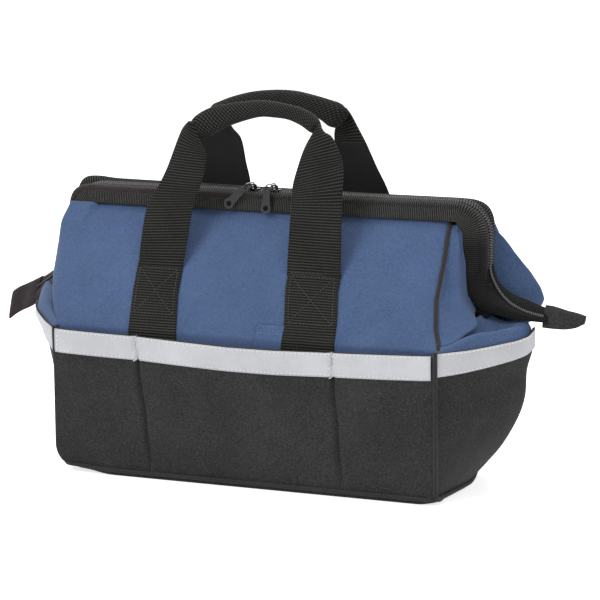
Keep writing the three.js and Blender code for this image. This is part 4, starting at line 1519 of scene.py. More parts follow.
    def box_lines(self, side: Side, end: End) -> list[Array]:
        """Gives the lines of the stitched box and its cross on a strap.

        Args:
            side: Which long side.
            end: Which of its two straps.

        Returns:
            One row of points for each line.
        """
        corners = ((0.13, 0.08), (0.13, 0.92), (0.49, 0.92), (0.49, 0.08))
        pairs = [(corners[i], corners[(i + 1) % 4]) for i in range(4)]
        pairs += [(corners[0], corners[2]), (corners[1], corners[3])]
        pairs += [((0.515, 0.05), (0.515, 0.95))]
        lines = []
        for (ta, ua), (tb, ub) in pairs:
            s = np.linspace(0, 1, 26)
            t = ta + (tb - ta) * s
            low, high = self.strap_edges(side, end, t)
            x = low + (high - low) * (ua + (ub - ua) * s)
            lines.append(self.at(side, x, t, self.strap_thickness + 0.2))
        return lines

    def build_tab(self) -> None:
        """Makes the small blue tab that is caught in the seam beside the right strap."""
        t = np.linspace(-0.09, 0.105, 16)[:, None]
        x = np.linspace(14.5, 43.0, 18)[None, :] + t * 8
        edge = np.minimum(x - x[:, :1], x[:, -1:] - x)
        out = 1.7 + 0.35 * np.exp(-((edge / 2.2) ** 2)) + 0.5 * np.sin(t * 9)
        grid = self.at(Side.FRONT, x, np.broadcast_to(t, x.shape), out)
        piece = Cloth().shell(grid, 1.2).piece("front_small_tab", self.finishes.blue)
        self.place(piece, "front_panel", Slot.BLUE, "front_side_tab")
        thread = Cloth()
        line_x = np.linspace(15.5, 43.5, 24)
        line = self.at(Side.FRONT, line_x, np.full(24, 0.045), 2.4)
        TAB_STITCH.add(thread, line)
        piece = thread.piece("front_small_tab_stitches", self.finishes.blue_thread)
        self.place(piece, "front_panel", Slot.BLUE)

    def build(self) -> None:
        """Makes both panels and all that is sewn on them."""
        for side in Side:
            self.build_panel(side)
            for end in End:
                self.build_strap(side, end)
        self.build_tab()


@dataclass
class Gussets(Assembly):
    """The folding cloth that closes each end between the panels, the band and the mouth frame."""

    panels: UpperPanels = field(default_factory=lambda: UpperPanels(None))
    lower: LowerBody = field(default_factory=lambda: LowerBody(None))
    leg_x: float = 208.5
    leg_y: float = 9.5
    thickness: float = 1.3

    def leaf_bulge(self, side: Side, end: End, z: Array) -> Array:
        """How far a leaf stands out beyond a straight line from the piping to the leg."""
        if side is Side.REAR and end is End.RIGHT:
            table = [(150, 40), (185, 51), (197, 47), (214, 35), (233, 19), (250, 7), (262, 2)]
            return along(table, z)
        if side is Side.REAR:
            return along([(150, 30), (185, 34), (215, 24), (262, 3)], z)
        if end is End.RIGHT:
            return along([(150, 22), (165, 16), (180, 7), (200, 1), (262, 0)], z)
        return along([(150, 8), (185, 4), (215, 2), (262, 1)], z)

    def build_leaf(self, side: Side, end: End) -> None:
        """Makes one leaf, from a panel's piping to the leg of the mouth frame.

        Args:
            side: Which long side.
            end: Which end.
        """
        sx, sy = end.value, side.value
        rows, columns = 50, 34
        t = np.linspace(0.03, 0.985, rows)
        edge_x = self.panels.edge_x(side, end, t)
        start = self.panels.at(side, edge_x, t, -1.2)
        z_low = 178.0
        leg_z = z_low + (263.5 - z_low) * np.linspace(0, 1, rows) ** 0.95
        leg_x = np.full(rows, sx * self.leg_x)
        leg_x = leg_x + sx * 8.0 * smooth((200 - leg_z) / 30)
        leg_x = leg_x - sx * 5.0 * smooth((leg_z - 248) / 16)
        stop = np.stack([leg_x, np.full(rows, sy * self.leg_y), leg_z], axis=1)
        share = np.linspace(0, 1, columns)
        grid = start[:, None, :] * (1 - share)[None, :, None]
        grid = grid + stop[:, None, :] * share[None, :, None]
        bow = np.sin(math.pi * share)[None, :] ** 0.9
        out = self.leaf_bulge(side, end, grid[..., 2]) * bow
        up = (grid[..., 2] - 150) * 0.9
        height = 3.0 if side is Side.FRONT and end is End.RIGHT else 1.8
        ripple = height * np.sin(share * 9 + up / 26 + sx) * bow
        ripple = ripple + 1.2 * wander(up, share[None, :] * 60, 46.0, sx + 2.4 * sy) * bow
        grid[..., 0] += sx * (out + ripple)
        grid[..., 1] += sy * out * 0.12
        leaf = Cloth().shell(oriented(grid, np.array([sx, sy * 0.5, 0.0])), self.thickness)
        name = f"{end.word}_{side.word}_fold_cloth"
        piece = leaf.piece(name, self.finishes.blue)
        node = f"{end.word}_{side.word}_gusset_leaf"
        self.place(piece, f"{side.word}_panel", Slot.BLUE, node)

    def build_lip(self, end: End) -> None:
        """Makes the low folded cloth over an end's band, up to the hinge and the zip's tail.

        Args:
            end: Which end.
        """
        sx = end.value
        columns, rows = 70, 40
        a = np.linspace(-1, 1, columns)
        y = a * 86.0
        full = np.abs(a)
        rim_x = self.lower.end_x(y, self.lower.height, end) - 1.2
        rim_z = self.lower.height + self.lower.rise(y, end)
        rim = np.stack([rim_x, y, rim_z - 3.0], axis=1)
        if end is End.RIGHT:
            tall = along([(-1, 2), (-0.8, 8), (-0.55, 14), (-0.3, 13), (0.1, 5), (0.4, 10), (1, 2)], a)
        else:
            tall = 21.0 * (1 - full**2.6)
        crest_x = rim_x - 3 - 6 * (1 - full)
        crest = np.stack([crest_x, y * 0.96, rim_z + tall], axis=1)
        inner_x = 221.0 - 14.0 * full**1.5
        inner_z = 174.5 - 15.0 * full**1.7
        inner = np.stack([inner_x, y * 0.62, inner_z], axis=1)
        if end is End.RIGHT:
            hollow = along([(-1, 0), (-0.6, 9), (-0.2, 11), (0.1, 3), (0.5, 8), (1, 0)], a)
        else:
            hollow = 4.0 * (1 - full)
        middle = crest * 0.5 + inner * 0.5
        middle[:, 2] -= hollow
        knots = [rim, rim * 0.5 + crest * 0.5 + np.array([1.6, 0, 0]), crest, middle, inner]
        stack = np.array(knots)
        grid = np.stack([curve_through(stack[:, j], rows) for j in range(columns)], axis=1)
        s = np.linspace(0, 1, rows)[:, None]
        ease = np.sin(math.pi * s) ** 0.7
        fold = 1.4 * np.sin(a * 8.5 + s * 3.0 + sx) * ease * (1 - full**4)
        fold = fold + 1.3 * wander(y[None, :], s * 60, 58.0, 5.0 + sx) * ease
        normals = grid_normals(grid)
        flip = np.sign((normals[..., 2] + normals[..., 0]).mean())
        grid = grid + normals * flip * fold[..., None]
        grid[..., 0] *= sx
        lip = Cloth().shell(oriented(grid, np.array([sx, 0.0, 1.0])), self.thickness)
        piece = lip.piece(f"{end.word}_lip_cloth", self.finishes.blue)
        blend = ("bag_body", "hinge_carrier", *LIP_BLEND)
        self.place(piece, blend, Slot.BLUE, f"{end.word}_gusset_lip")

    def build(self) -> None:
        """Makes the four leaves and the two lips."""
        for end in End:
            for side in Side:
                self.build_leaf(side, end)
            self.build_lip(end)


def oriented(grid: Array, outward: Array) -> Array:
    """Turns a grid, if need be, so that its normals face outward on average."""
    facing = (grid_normals(grid) @ outward).mean()
    return grid if facing > 0 else grid[:, ::-1]


@dataclass(frozen=True)
class HandleShape:
    """One handle's outlines over x and z: two flat straps and the rolled grip between them."""

    left_outer: tuple[tuple[float, float], ...]
    left_inner: tuple[tuple[float, float], ...]
    right_outer: tuple[tuple[float, float], ...]
    right_inner: tuple[tuple[float, float], ...]
    grip_upper: tuple[tuple[float, float], ...]
    grip_lower: tuple[tuple[float, float], ...]


FRONT_HANDLE = HandleShape(
    left_outer=(
        (-127.5, 206.0), (-125.0, 232.0), (-119.0, 267.0), (-105.0, 292.0), (-92.0, 322.0),
        (-84.0, 340.0), (-79.5, 347.5), (-75.5, 351.5),
    ),
    left_inner=(
        (-79.0, 206.0), (-74.0, 235.0), (-68.0, 270.0), (-61.0, 290.0), (-56.3, 318.0),
        (-60.0, 328.0), (-65.5, 338.0), (-71.0, 351.5),
    ),
    right_outer=(
        (90.7, 206.0), (90.7, 240.0), (90.2, 277.0), (90.2, 309.0), (87.5, 323.0), (78.5, 341.0),
        (69.5, 346.5), (63.8, 353.0),
    ),
    right_inner=(
        (34.0, 206.0), (35.4, 241.0), (36.7, 275.0), (36.9, 294.0), (42.5, 313.0), (49.4, 330.0),
        (55.5, 341.0), (62.3, 351.5),
    ),
    grip_upper=(
        (-79.5, 346.0), (-71.0, 356.5), (-56.0, 365.0), (-39.5, 369.0), (-21.0, 372.0),
        (-3.0, 373.6), (17.5, 372.0), (37.7, 368.2), (51.0, 363.2), (58.5, 357.8), (63.5, 350.5),
    ),
    grip_lower=(
        (-70.0, 335.0), (-65.0, 333.5), (-56.0, 337.0), (-40.0, 345.5), (-23.0, 352.0),
        (-4.0, 357.0), (12.0, 357.0), (27.0, 355.5), (41.0, 350.5), (51.5, 344.5), (60.0, 343.0),
    ),
)
REAR_HANDLE = HandleShape(
    left_outer=(
        (-104.0, 206.0), (-109.0, 246.0), (-111.0, 282.0), (-108.0, 315.0), (-101.0, 340.0),
        (-94.0, 354.0), (-88.0, 361.5), (-82.0, 364.5),
    ),
    left_inner=(
        (-47.5, 206.0), (-47.8, 246.0), (-48.6, 284.0), (-52.5, 307.0), (-58.0, 328.0),
        (-66.5, 338.0), (-70.0, 345.0), (-70.5, 352.5),
    ),
    right_outer=(
        (121.0, 206.0), (112.5, 243.0), (102.0, 280.0), (91.5, 303.0), (79.5, 326.5),
        (69.5, 344.0), (63.0, 356.5), (58.0, 363.5),
    ),
    right_inner=(
        (66.0, 206.0), (57.0, 243.0), (50.0, 280.0), (46.0, 303.0), (44.5, 326.0), (44.5, 337.5),
        (47.0, 345.0), (50.5, 353.0),
    ),
    grip_upper=(
        (-88.0, 356.5), (-80.0, 364.0), (-70.0, 368.5), (-56.0, 373.0), (-36.0, 377.5),
        (-12.0, 379.8), (8.0, 379.3), (26.0, 376.0), (44.0, 371.5), (56.0, 367.5), (65.0, 358.0),
    ),
    grip_lower=(
        (-76.0, 342.0), (-67.0, 342.0), (-58.0, 346.5), (-48.0, 352.0), (-30.0, 359.0),
        (-10.0, 362.8), (8.0, 362.3), (24.0, 357.5), (36.0, 350.5), (43.5, 345.0), (52.0, 343.0),
    ),
)


@dataclass
class Handles(Assembly):
    """The two webbing handles, whose straps fold into a round grip."""

    thickness: float = 2.6
    grip_thickness: float = 14.5
    foot_z: float = 208.0
    shapes: dict[Side, HandleShape] = field(
        default_factory=lambda: {Side.FRONT: FRONT_HANDLE, Side.REAR: REAR_HANDLE}
    )

    def depth_at(self, z: Array) -> Array:
        """How far in front of the middle the webbing hangs at a height."""
        h = np.clip((z - self.foot_z) / 163.0, 0, 1)
        low = 48.4 + (self.foot_z - z) * 0.5
        return np.where(z < self.foot_z, low, 49.5 - 22.0 * h + 5.0 * np.sin(math.pi * h))

    def strap_rings(
        self, outer: Sequence[tuple[float, float]], inner: Sequence[tuple[float, float]]
    ) -> Array:
        """Gives the rings of one strap, which cups round the grip's end and closes to a point.

        Args:
            outer: The edge away from the grip, from the foot up.
            inner: The edge under the grip.

        Returns:
            The rings, with y as the depth in front of the middle.
        """
        count, sides = 74, 40
        station = np.linspace(0, len(outer) - 1, count)
        rows_o = resample(upright(outer), station)
        rows_i = resample(upright(inner), station)
        middle = (rows_o + rows_i) / 2
        closing = smooth((middle[:, 2] - 300.0) / 46.0)
        c, s = blunt_circle(sides, 0.35, 0.6)
        rings = np.zeros((count, sides, 3))
        for i in range(count):
            place = middle[i] + (rows_o[i] - middle[i]) * c[:, None]
            flat = 2.0 * smooth((middle[i, 2] - 215) / 50) * (1 - c**2)
            cup = 9.4 * (1 - 0.2 * c**2) * closing[i]
            thick = self.thickness / 2 + 1.2 * closing[i]
            depth = self.depth_at(np.full(sides, middle[i, 2])) + flat + cup + s * thick
            rings[i] = np.column_stack([place[:, 0], depth, place[:, 2]])
        return rings

    def grip_rings(self, shape: HandleShape) -> Array:
        """Gives the rings of the rolled grip, with y as the depth in front of the middle."""
        count, sides = 96, 32
        station = np.linspace(0, len(shape.grip_upper) - 1, count)
        upper = resample(upright(shape.grip_upper), station)
        lower = resample(upright(shape.grip_lower), station)
        middle = (upper + lower) / 2
        c, s = blunt_circle(sides, 0.85, 0.85)
        share = np.linspace(0, 1, count)
        ends = np.minimum(smooth(share * 9 + 0.2), smooth((1 - share) * 9 + 0.2))
        rings = np.zeros((count, sides, 3))
        for i in range(count):
            place = middle[i] + (upper[i] - middle[i]) * c[:, None]
            depth = self.depth_at(middle[i, 2]) + s * self.grip_thickness / 2 * ends[i]
            rings[i] = np.column_stack([place[:, 0], np.broadcast_to(depth, sides), place[:, 2]])
        return rings

    def build_handle(self, side: Side) -> None:
        """Makes one handle: its two straps, and the grip that they roll into.

        Args:
            side: Which long side.
        """
        shape = self.shapes[side]
        straps = Cloth()
        pairs = ((shape.left_outer, shape.left_inner), (shape.right_outer, shape.right_inner))
        for outer, inner in pairs:
            rings = self.strap_rings(outer, inner)
            rings[..., 1] *= side.value
            straps.loft(rings)
        piece = straps.piece(f"{side.word}_carry_webbing", self.finishes.webbing)
        piece.data.materials.append(self.finishes.lining)
        # Faces that turn toward the bag take the dark back finish, whose darkness is painted shade. On
        # the right rear strap this stops at 0.329 m.
        for face in piece.data.polygons:
            low = side is Side.FRONT or face.center.z < 0.329 or face.center.x < 0
            face.material_index = int(low and face.normal.y * side.value < -0.35)
        self.place(piece, f"{side.word}_handle", Slot.WEBBING, f"{side.word}_handle")
        rings = self.grip_rings(shape)
        rings[..., 1] *= side.value
        grip = Cloth().loft(rings)
        piece = grip.piece(f"{side.word}_rolled_grip", self.finishes.grip)
        self.place(piece, f"{side.word}_handle", Slot.WEBBING)

    def build(self) -> None:
        """Makes both handles."""
        for side in Side:
            self.build_handle(side)


@dataclass
class MouthFrame(Assembly):
    """The hinged mouth: bound edges over the steel rods, zip tapes, coils and hinge boots."""

    rod_top: float = 277.5
    rod_half: float = 222.0
    rod_corner: float = 30.0
    leg_end: float = 191.0
    slant: float = 0.24
    bar_foot: float = 262.0
    bar_reach: float = 12.0
    tooth_pitch: float = 2.5
    tooth: tuple[tuple[float, float], ...] = (
        (2.6, 4.3),
        (4.8, 4.0),
        (5.5, 1.9),
        (4.7, 0.1),
        (2.8, 0.1),
        (2.2, 1.6),
    )
    corner_fullness: dict[Side, dict[End, float]] = field(
        default_factory=lambda: {
            Side.FRONT: {End.LEFT: 4.5, End.RIGHT: 0.0},
            Side.REAR: {End.LEFT: 7.5, End.RIGHT: 4.5},
        }
    )

    def rod_path(self, count: int = 240) -> tuple[Array, Array]:
        """Gives the rod's line from the left leg's foot to the right one's.

        Args:
            count: How many samples come back.

        Returns:
            The places (x, z), and at each the unit direction that points out of the arch.
        """
        r = self.rod_corner
        line: list[tuple[float, float]] = []
        for z in np.linspace(self.leg_end, self.rod_top - r, 30):
            line.append((-self.rod_half, z))
        for angle in np.linspace(math.pi, math.pi / 2, 24)[1:]:
            x = -self.rod_half + r + r * math.cos(angle)
            line.append((x, self.rod_top - r + r * math.sin(angle)))
        right = [(-x, z) for x, z in reversed(line)]
        for x in np.linspace(-self.rod_half + r, self.rod_half - r, 90)[1:-1]:
            line.append((x, self.rod_top))
        path = np.array(line + right)
        run = run_of(path)
        path = read_path(path, run, np.linspace(0, run[-1], count))
        ahead = unit(np.gradient(path, axis=0))
        return path, np.stack([-ahead[:, 1], ahead[:, 0]], axis=1)

    def bar_share(self, z: Array | float) -> Array | float:
        """How far a height has come from the bends to the straight bar, from 0 to 1."""
        return smooth((z - self.bar_foot) / self.bar_reach)

    def section_rings(self, section: Array, side: Side, ripple: Array | None = None) -> Array:
        """Sweeps a section along the rod.

        Args:
            section: Pairs of reach out of the arch and y, going round.
            side: Which half of the mouth.
            ripple: How far each point of each ring moves outward in y.

        Returns:
            The rings.
        """
        path, out = self.rod_path()
        rings = np.zeros((len(path), len(section), 3))
        reach = section[None, :, 0]
        rings[..., 0] = path[:, :1] + out[:, :1] * reach
        rings[..., 2] = path[:, 1:] + out[:, 1:] * reach
        y = np.broadcast_to(section[None, :, 1], rings.shape[:2])
        if ripple is not None:
            y = y + ripple
        rings[..., 1] = side.value * y
        return rings

    def build_binding(self, side: Side) -> None:
        """Makes one half's ribbed binding, which wraps the rod.

        Args:
            side: Which half of the mouth.
        """
        outline = [
            (-15.5, 8.6), (-15.2, 7.6), (-12.0, 7.0), (-7.0, 6.3), (-3.0, 5.8), (0.4, 5.9),
            (2.4, 6.6), (3.4, 8.4), (3.1, 10.8), (1.8, 12.8), (-0.2, 13.3), (-1.7, 12.1),
            (-2.9, 12.1), (-5.0, 13.1), (-9.0, 13.6), (-13.0, 14.1), (-15.4, 12.9),
        ]
        loop = curve_through(upright(outline + outline[:1]), 57)[:-1]
        section = loop[:, [0, 2]]
        path, _ = self.rod_path()
        steps = run_of(path)
        face = np.exp(-(((section[:, 0] + 6) / 7.0) ** 2)) * (section[:, 1] > 9)
        pucker = 0.4 * np.sin(steps / 5.3 + 2.0 * np.sin(steps / 31))[:, None] * face[None, :]
        leg = smooth((255.0 - path[:, 1]) / 25)[:, None]
        slant = np.sin(steps[:, None] / 4.4 + section[None, :, 0] / 5.0)
        pucker = pucker + 0.7 * leg * slant * face[None, :]
        rings = self.section_rings(section, side, pucker)
        share = np.clip((section[:, 0] + 13) / 14, 0, 1)[None, :]
        for end, fullness in self.corner_fullness[side].items():
            corner = np.array([end.value * (self.rod_half - 9.0), self.rod_top - 9.0])
            near = np.exp(-((np.linalg.norm(path - corner, axis=1) / 17.0) ** 2))[:, None]
            rings[..., 0] += end.value * fullness * near * share
            rings[..., 2] += fullness * near * share * 0.8
        if side is Side.FRONT:
            inward = np.clip((-4 - section[:, 0]) / 11, 0, 1)[None, :]
            wide = smooth((path[:, 1] - 196.0) / 52) * smooth((path[:, 0] - 196.0) / 16)
            rings[..., 0] -= 5.0 * inward * wide[:, None]
        if side is Side.REAR:
            bar = self.bar_share(path[:, 1])[:, None] * np.clip(section[:, 0], 0, 4) / 3.4
            rings[..., 2] += (3.4 - 2.2 * path[:, :1] / self.rod_half) * bar
        binding = Cloth().loft(rings)
        piece = binding.piece(f"{side.word}_mouth_binding", self.finishes.binding)
        piece.data.materials.append(self.finishes.tape)
        for face in piece.data.polygons:
            rolled = section[face.index % len(section), 0] > -2.2 and face.center.x < -0.02
            face.material_index = int(rolled and side is Side.FRONT)
        self.place(piece, f"mouth_{side.word}", Slot.WEBBING, f"{side.word}_binding")

    def build_tape(self, side: Side) -> None:
        """Makes one half's zip tape, which rolls over beside the coil.

        Args:
            side: Which half of the mouth.
        """
        high = 3.4 if side is Side.FRONT else 4.9
        outline = [
            (high - 2.2, 7.4), (high - 0.6, 6.8), (high, 5.6), (high - 0.2, 4.4),
            (2.9, 3.0), (2.3, 3.0), (high - 1.6, 4.4), (high - 1.7, 5.4), (high - 3.0, 6.4),
        ]
        loop = curve_through(upright(outline + outline[:1]), 31)[:-1]
        rings = self.section_rings(loop[:, [0, 2]], side)
        line, _ = self.rod_path()
        bar = self.bar_share(line[:, 1])[:, None]
        rings[..., 2] += self.slant * rings[..., 1] * bar
        tape = Cloth().loft(rings)
        piece = tape.piece(f"{side.word}_mouth_tape", self.finishes.tape)
        self.place(piece, f"mouth_{side.word}", Slot.WEBBING, f"{side.word}_zip_tape")
        coil = Cloth()
        path, out = self.rod_path(760)
        shift = 0.0 if side is Side.FRONT else 0.5
        steps = run_of(path)
        for k in range(int(steps[-1] / self.tooth_pitch) - 1):
            at = (k + 0.5 + shift) * self.tooth_pitch
            spread = np.array([-0.6, 0.0, 0.6]) + at
            centre = read_path(path, steps, spread)
            away = read_path(out, steps, np.array([at]))[0]
            corners = []
            for reach, y in self.tooth:
                x, z = centre[1] + away * reach
                corners.append((x, side.value * y, z))
            ring = np.array(corners)
            ahead = (centre[2] - centre[0]) / 2
            offset = np.array([ahead[0], 0.0, ahead[1]])
            ring[:, 2] += self.slant * ring[:, 1] * self.bar_share(centre[1, 1])
            rings = np.stack([ring - offset, ring + offset])
            coil.loft(rings)
        piece = coil.piece(f"{side.word}_coil_teeth", self.finishes.coil)
        self.place(piece, f"mouth_{side.word}", Slot.METAL, f"{side.word}_zip_coil")

    def build_boot(self, side: Side, end: End) -> None:
        """Makes the cloth over one hinge, between a leg's binding and the zip's tail.

        Args:
            side: Which half of the mouth.
            end: Which end.
        """
        sx, sy = end.value, side.value
        path = [(218.0, 204.0), (218.5, 196.0), (220.0, 188.0), (223.5, 181.0), (230.0, 175.5)]
        count = 22
        line = curve_through(upright(path), count)
        ahead = unit(np.gradient(line, axis=0))
        out = np.stack([ahead[:, 2], np.zeros(count), -ahead[:, 0]], axis=1)
        c, s = blunt_circle(20, 0.6, 0.7)
        rings = np.zeros((count, 20, 3))
        for i in range(count):
            wide = 11.6 - 1.0 * i / count
            thick = 3.9 - 1.2 * i / count + 0.4 * math.sin(i * 1.7)
            place = line[i] + out[i] * (c * wide)[:, None]
            deep = 9.2 - 2.2 * i / count + s * thick
            rings[i] = np.column_stack([sx * place[:, 0], sy * deep, place[:, 2]])
        boot = Cloth().loft(rings)
        name = f"{end.word}_{side.word}_hinge_cover"
        # The binding finish is darkened below 0.232 m as painted shade, so this cover is drawn all in
        # painted shade.
        piece = boot.piece(name, self.finishes.binding)
        blend = ("hinge_carrier", f"mouth_{side.word}", *BOOT_BLEND)
        self.place(piece, blend, Slot.WEBBING)

    def build(self, nodes: dict[str, bpy.types.Object]) -> None:
        """Makes both halves of the mouth.

        Args:
            nodes: The CAD nodes by name.
        """
        for side in Side:
            self.build_binding(side)
            self.build_tape(side)
            for end in End:
                self.build_boot(side, end)
            dress(nodes[f"{side.word}_frame_rod"], self.finishes.steel)


@dataclass(frozen=True)
class TailShape:
    """The long edges of one tail and of the folded cap at its end."""

    front: tuple[Point, ...]
    coil: tuple[Point, ...]
    rear: tuple[Point, ...]
    cap_upper: tuple[Point, ...]
    cap_lower: tuple[Point, ...]


RIGHT_TAIL = TailShape(
    front=(
        (207.5, -12.5, 206.0), (208.5, -12.5, 192.0), (216.0, -12.5, 182.0), (226.0, -12.0, 177.0),
        (240.0, -10.5, 173.5), (258.0, -6.0, 170.5), (282.0, 0.0, 168.5),
    ),
    coil=(
        (225.6, -3.5, 221.0), (228.5, -3.5, 209.0), (234.0, -3.0, 198.2), (241.0, -2.5, 189.5),
        (250.0, -1.5, 182.5), (264.0, 0.5, 176.5), (283.0, 3.0, 172.5),
    ),
    rear=(
        (226.5, 5.0, 222.0), (230.0, 7.0, 208.0), (236.5, 10.0, 198.5), (246.0, 12.5, 192.0),
        (258.0, 13.0, 188.0), (270.0, 12.0, 184.0), (284.0, 11.0, 179.5),
    ),
    cap_upper=(
        (279.0, 10.0, 184.5), (288.0, 10.0, 183.5), (300.0, 10.0, 180.5), (312.0, 9.0, 178.5),
        (319.5, 8.0, 176.5),
    ),
    cap_lower=(
        (277.5, 4.0, 163.0), (288.0, 4.0, 162.5), (300.0, 5.0, 162.5), (310.0, 6.0, 164.5),
        (318.0, 7.0, 168.5),
    ),
)
LEFT_TAIL = TailShape(
    front=(
        (-207.5, -12.5, 206.0), (-208.5, -12.5, 192.0), (-216.0, -12.5, 182.0),
        (-226.0, -11.0, 175.0), (-240.0, -6.0, 169.0), (-256.0, 0.0, 163.0), (-278.0, 5.0, 153.0),
    ),
    coil=(
        (-225.6, -3.5, 221.0), (-228.5, -3.5, 210.0), (-233.0, -3.0, 202.0), (-240.0, -1.0, 193.5),
        (-249.0, 2.0, 185.5), (-261.0, 5.0, 177.0), (-279.0, 8.0, 165.5),
    ),
    rear=(
        (-228.0, 8.0, 222.0), (-231.0, 10.0, 211.0), (-236.0, 12.0, 204.0), (-244.0, 12.0, 197.0),
        (-253.0, 11.0, 190.5), (-264.0, 10.0, 183.0), (-280.0, 9.0, 173.5),
    ),
    cap_upper=(
        (-268.0, 8.0, 181.5), (-278.0, 8.5, 176.5), (-288.0, 9.0, 172.0), (-297.0, 9.5, 168.0),
        (-304.0, 10.0, 163.5),
    ),
    cap_lower=(
        (-276.0, 6.0, 152.0), (-284.0, 6.5, 147.5), (-293.0, 7.5, 143.5), (-302.0, 8.5, 138.5),
        (-309.0, 9.5, 133.5),
    ),
)


@dataclass
class Tails(Assembly):
    """The zip's tails, which curl out over the ends and end in folded caps."""

    shapes: dict[End, TailShape] = field(
        default_factory=lambda: {End.LEFT: LEFT_TAIL, End.RIGHT: RIGHT_TAIL}
    )
    thickness: float = 2.4

    def strip(self, first: Array, second: Array, swell: Array, end: End) -> Array:
        """Gives a strip's outer surface between two edges, bulging towards the viewer's side.

        Args:
            first: One edge.
            second: The other edge.
            swell: How far it bulges at each point along.
            end: Which end of the bag.

        Returns:
            The grid, whose normals face out.
        """
        share = np.linspace(0, 1, 11)
        grid = first[:, None, :] * (1 - share)[None, :, None]
        grid = grid + second[:, None, :] * share[None, :, None]
        bow = np.sin(math.pi * share)[None, :] * swell[:, None]
        away = oriented(grid, np.array([end.value * 0.5, 0.0, 1.0]))
        return away + grid_normals(away) * bow[..., None]

    def build_tail(self, end: End) -> None:
        """Makes one tail: its two tapes, the coil between them and the cap.

        Args:
            end: Which end.
        """
        shape = self.shapes[end]
        edges = [curve_through(edge, 56) for edge in (shape.front, shape.coil, shape.rear)]
        front, coil_line, rear = edges
        at = np.linspace(0, 1, 56)
        # The right tail takes the binding finish, which is darkened below 0.232 m as painted shade, so
        # this tail is drawn in painted shade.
        finish = self.finishes.binding if end is End.RIGHT else self.finishes.tape
        parts = (
            (Side.FRONT, front, coil_line, along([(0, 6.4), (0.45, 6.6), (1, 1.2)], at)),
            (Side.REAR, coil_line, rear, along([(0, 2.4), (1, 1.0)], at)),
        )
        for side, first, second, swell in parts:
            tape = Cloth().shell(self.strip(first, second, swell, end), self.thickness)
            name = f"{end.word}_{side.word}_tail_tape"
            piece = tape.piece(name, finish)
            blend = ("hinge_carrier", f"mouth_{side.word}", *TAIL_BLEND)
            nodes = (f"{end.word}_zip_tail",) if side is Side.FRONT else ()
            self.place(piece, blend, Slot.WEBBING, *nodes)
        coil = Cloth()
        fine = curve_through(shape.coil, 46)
        away = np.array([end.value * 0.45, -0.35, 0.8])
        for i in range(1, 43):
            over = fine[i] + away * 1.5
            slant = np.array([end.value * 0.35, -1.9, -0.5])
            coil.cord(np.vstack([over - slant, over + away * 0.3, over + slant]), 0.62, 6)
        piece = coil.piece(f"{end.word}_tail_teeth", self.finishes.coil)
        blend = ("hinge_carrier", "mouth_front", *TAIL_BLEND)
        self.place(piece, blend, Slot.METAL)
        upper, lower = curve_through(shape.cap_upper, 30), curve_through(shape.cap_lower, 30)
        c, s = blunt_circle(24, 0.5, 0.7)
        middle, reach = (upper + lower) / 2, (upper - lower) / 2
        ahead = unit(np.gradient(middle, axis=0))
        deep = unit(np.cross(reach, ahead))
        puff = 2.5 + 0.7 * np.sin(np.linspace(0, 9, 30))
        rings = middle[:, None, :] + reach[:, None, :] * c[None, :, None]
        rings = rings + deep[:, None, :] * (s[None, :, None] * puff[:, None, None])
        cap = Cloth().loft(rings)
        cap_finish = self.finishes.black if end is End.RIGHT else self.finishes.tape
        piece = cap.piece(f"{end.word}_tail_cap", cap_finish)
        self.place(piece, "hinge_carrier", Slot.BLACK, f"{end.word}_tail_tab")

    def build(self, nodes: dict[str, bpy.types.Object]) -> None:
        """Makes both tails and finishes the rivets.

        Args:
            nodes: The CAD nodes by name.
        """
        for end in End:
            self.build_tail(end)
            dress(nodes[f"{end.word}_hinge_rivet"], self.finishes.steel)


@dataclass
class Sliders(Assembly):
    """The two zip sliders with their links and pull tabs, which are the CAD's own shapes."""

    edge_width: float = 0.25

    def build(self, nodes: dict[str, bpy.types.Object]) -> None:
        """Finishes the six metal nodes.

        Args:
            nodes: The CAD nodes by name.
        """
        for end in End:
            for part in ("slider", "pull_link", "pull_tab"):
                node = nodes[f"{end.word}_{part}"]
                dress(node, self.finishes.enamel)
                bevel = node.modifiers.new("edge", "BEVEL")
                bevel.width = self.edge_width * MM
                bevel.segments = 2
                self.made.append(node.name)


def stand(obj: bpy.types.Object, place: Point, target: Point) -> None:
    """Links an object to the scene at a place, turned towards a target."""
    obj.location = place
    towards = Vector(target) - Vector(place)
    obj.rotation_euler = towards.to_track_quat("-Z", "Y").to_euler()
    bpy.context.scene.collection.objects.link(obj)


@dataclass(frozen=True)
class Lamp:
    """A soft square lamp."""

    name: str
    place: Point
    power: float
    size: float
    aim: Point = (0.0, 0.0, 0.16)

    def build(self) -> None:
        """Makes the lamp, aimed at the bag."""
        data = bpy.data.lights.new(self.name, "AREA")
        data.energy = self.power
        data.size = self.size
        stand(bpy.data.objects.new(self.name, data), self.place, self.aim)


